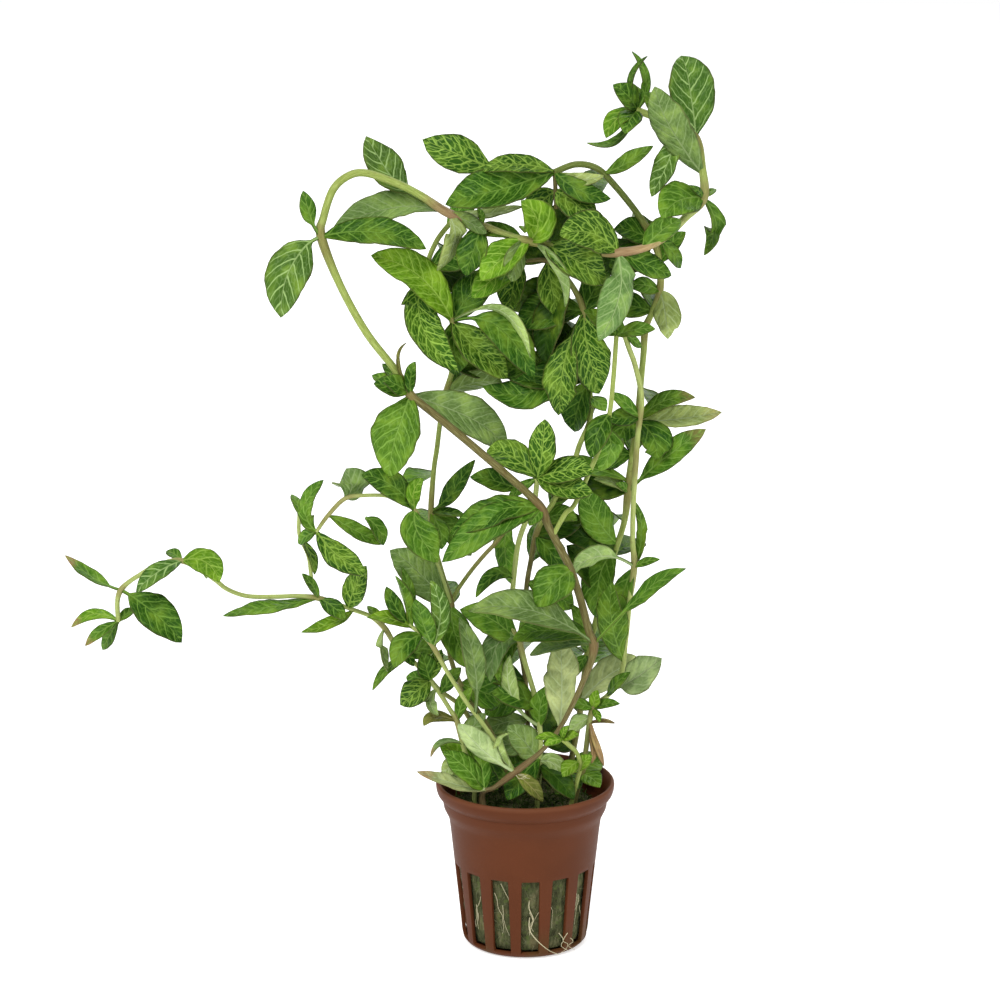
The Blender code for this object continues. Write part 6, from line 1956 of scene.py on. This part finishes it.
@dataclass
class StoneWool:
    """The plug as a matted body, with fibres and moss on it and roots at its side.

    Its bumps are waves round the axis and up it, each with its own rate and phases.
    """

    steps: int = 120
    rows: int = 46
    roughening: float = 0.55
    narrowest: float = 0.4
    top_drop: float = 1.3
    bumps: int = 9
    bump_phase: float = 6.3
    bump_turns: float = 2.1
    bump_rise: float = 0.5
    bump_rise_step: float = 0.23
    bump_calm: float = 5.0

    def inward(self, angle: float, height: float, phases: list) -> float:
        """How far the skin lies inside its line.

        Args:
            angle: the place round the axis, in radians.
            height: the height in millimetres.
            phases: for each wave its phase round the axis, then the one up it.

        Returns:
            The distance in millimetres.
        """
        bumps = sum(
            math.sin((number + 2) * self.bump_turns * angle + phase[0])
            * math.sin(height * (self.bump_rise + self.bump_rise_step * number) + phase[1])
            for number, phase in enumerate(phases)
        )
        return self.roughening * (0.5 + 0.5 * max(-1, min(1, bumps / self.bump_calm)))

    def body(self) -> Mesh:
        """The plug's skin: turned, and roughened inwards so that it stays inside the pot.

        Returns:
            The closed mesh.
        """
        clear = WALL + GAP
        line = [
            (0.0, clear), (FOOT_RADIUS - clear, clear),
            (CORNER_RADIUS - clear, CORNER_MIDDLE + 2 * GAP),
            (WALL_LOW_RADIUS - clear, CORNER_HEIGHT),
            (WALL_TOP_RADIUS - clear, STEP_LOW), (WALL_TOP_RADIUS - clear, PLUG_TOP - PLUG_EDGE),
            (WALL_TOP_RADIUS - clear - PLUG_EDGE, PLUG_TOP), (0.0, PLUG_TOP),
        ]
        lengths = [math.dist(a, b) for a, b in zip(line, line[1:])]
        marks = np.concatenate([[0.0], np.cumsum(lengths)])
        where = np.linspace(0.0, marks[-1], self.rows)
        radii = np.interp(where, marks, [r for r, z in line])
        heights = np.interp(where, marks, [z for r, z in line])
        rng = random.Random(SEED)
        # A wave uses two of its three draws
        phases = [
            [rng.uniform(0, self.bump_phase) for draw in range(3)] for bump in range(self.bumps)
        ]
        skin = bmesh.new()
        rings = []
        for radius, height in zip(radii, heights):
            if not radius:
                rings.append([skin.verts.new(metres((0.0, 0.0, height)))])
                continue
            ring = []
            for step in range(self.steps):
                angle = 2 * math.pi * step / self.steps
                inward = self.inward(angle, height, phases)
                drop = inward * (height > PLUG_TOP - PLUG_EDGE) * self.top_drop
                ring += turned([(max(radius - inward, self.narrowest), height - drop)], angle)
            rings.append([skin.verts.new(metres(point)) for point in ring])
        bridge(skin, rings)
        return finished(skin, "stone_wool_body")

    @staticmethod
    def scatter_tree(name: str, strand: Object) -> NodeTree:
        """Build the Geometry Nodes tree that strews a strand over a surface.

        Args:
            name: the tree's name.
            strand: the object that is strewn.

        Returns:
            The tree, with the inputs Density, Lowest, Seed, Finish and Tilt.
        """
        g = GeometryTree(name)
        density, lowest = g.size("Density"), g.size("Lowest")
        seed, finish = g.size("Seed", int), g.size("Finish", object)
        tilt = g.size("Tilt")
        above = g.math("GREATER_THAN", g.height(g.spot()), lowest)
        inputs = {"Mesh": g.entry.outputs[0], "Selection": above, "Density": density, "Seed": seed}
        strewn = g.add("GeometryNodeDistributePointsOnFaces", {"distribute_method": "RANDOM"},
                       inputs)
        spin, lean = g.drawn(0.0, 2 * math.pi, seed=3), g.drawn(-1.0, 1.0, seed=5) * tilt
        turn = g.step("FunctionNodeEulerToRotation", inputs={"Euler": g.joined(0.0, lean, spin)})
        rotation = g.step("FunctionNodeRotateRotation", {"rotation_space": "LOCAL"},
                          {"Rotation": strewn.outputs["Rotation"], "Rotate By": turn})
        swell = g.drawn(0.55, 1.25, seed=9)
        pattern = g.add("GeometryNodeObjectInfo", {"transform_space": "ORIGINAL"},
                        {"Object": strand})
        laid = g.step("GeometryNodeInstanceOnPoints", inputs={
            "Points": strewn.outputs["Points"], "Instance": pattern.outputs["Geometry"],
            "Rotation": rotation, "Scale": swell})
        return g.end(laid, finish)

    def strewn(self, kind: Strands, finish: WoolFinish) -> Object:
        """Strew a kind of strand over the plug's skin.

        Args:
            kind: the strands.
            finish: what they look like.

        Returns:
            The piece.
        """
        sizes = {"Density": kind.density, "Lowest": kind.lowest * MM, "Seed": kind.seed,
                 "Tilt": kind.tilt}
        pattern = new_object(f"{kind.name}_pattern", kind.mesh())
        tree = self.scatter_tree(kind.name, pattern)
        piece = grown(kind.name, self.body(), tree, sizes, [finish.build()])
        bpy.data.objects.remove(pattern, do_unlink=True)
        return piece

    def build(self, tubes: StemTubes) -> list[Object]:
        """Make the plug, its fibres, the moss at its top and the roots.

        Args:
            tubes: what makes the roots.

        Returns:
            The pieces.
        """
        body = new_object("stone_wool_body", self.body())
        body.data.materials.append(WoolFinish().build())
        fibres = self.strewn(FIBRES, PALE_FIBRE)
        tufts = self.strewn(MOSS, MOSS_GREEN)
        roots = RootThreads().build(tubes)
        for piece in (body, roots):
            hand_over(piece, "stone_wool", "stone_wool_plug")
        for piece in (fibres, tufts):
            hand_over(piece, "stone_wool")
        return [body, fibres, tufts, roots]


class Lamp(NamedTuple):
    """One soft lamp: its place and the width of its face in metres, and its power in watts."""

    name: str
    place: tuple
    size: float
    power: float


LAMPS = (
    Lamp("key_light", (-0.8, -1.2, 1.5), 1.0, 28.0),
    Lamp("fill_light", (1.2, -1.0, 0.8), 1.2, 9.0),
    Lamp("back_light", (0.3, 1.2, 1.3), 1.2, 13.0),
)


@dataclass
class Studio:
    """The pale floor, the soft lights and the camera. floor_size and aim_height are in metres."""

    floor_size: float = 12.0
    floor_colour: Colour = (0.86, 0.86, 0.86)
    floor_glow: float = 0.5
    air_glow: float = 0.5
    aim_height: float = 0.13

    def floor(self) -> Object:
        """The floor that the pot stands on, with a fine even grain.

        Returns:
            The floor.
        """
        half = self.floor_size / 2
        mesh = bpy.data.meshes.new("floor")
        corners = [(-half, -half, 0), (half, -half, 0), (half, half, 0), (-half, half, 0)]
        mesh.from_pydata(corners, [], [(0, 1, 2, 3)])
        s = ShaderNodes("studio floor")
        grain = s.noise(s.place(), 40, 2)
        colour = s.mix(grain * 0.03, self.floor_colour, WHITE)
        mesh.materials.append(s.finish(colour, 0.9, grain, 0.0001, 0.1, 0.1))
        s.shader.inputs["Emission Color"].default_value = WHITE
        s.shader.inputs["Emission Strength"].default_value = self.floor_glow
        floor = new_object("studio_floor", mesh)
        floor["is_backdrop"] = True
        return floor

    def light(self, lamp: Lamp) -> None:
        """Add one lamp that looks at the plant.

        Args:
            lamp: what it is like.
        """
        made = bpy.data.lights.new(lamp.name, "AREA")
        made.size = lamp.size
        made.energy = lamp.power
        holder = new_object(lamp.name, made)
        holder.location = lamp.place
        aim = Vector((0, 0, self.aim_height)) - holder.location
        holder.rotation_euler = aim.to_track_quat("-Z", "Y").to_euler()

    def build(self) -> None:
        """Set up the floor, the lamps, the surroundings and the camera."""
        self.floor()
        for lamp in LAMPS:
            self.light(lamp)
        world = bpy.data.worlds.new("studio air")
        world.use_nodes = True
        air = world.node_tree.nodes["Background"]
        air.inputs["Color"].default_value = WHITE
        air.inputs["Strength"].default_value = self.air_glow
        bpy.context.scene.world = world
        bpy.context.scene.view_settings.view_transform = "Standard"
        lens = bpy.data.cameras.new("camera")
        lens.lens = LENS
        lens.sensor_width = SENSOR
        lens.dof.use_dof = False
        camera = new_object("camera", lens)
        camera.location = metres(EYE)
        camera.rotation_euler = (math.radians(90 - CAMERA_TILT_DEG), 0, 0)
        bpy.context.scene.camera = camera


def write_sizes() -> None:
    """Gather the solids' box and the shown model's box, each as its lowest and highest corner; they are
    not kept.
    """
    boxes = {"cad": CAD_BOX, "visual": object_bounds()}
    {name: [list(corner) for corner in box] for name, box in boxes.items()}


def main() -> None:
    """Build the pot, the plug and each leafy stem, then the studio, and report each piece."""
    logging.basicConfig(level=logging.INFO, format="%(message)s")
    started = time.monotonic()
    tubes, blades = StemTubes(), LeafBlades()
    pieces = NetPot().build() + StoneWool().build(tubes)
    for number, plant in enumerate(PLANTS):
        pieces += LeafyStem(plant, number).build(tubes, blades)
    for piece in pieces:
        report(piece, started)
    Studio().build()
    write_sizes()


if __name__ == "__main__":
    main()
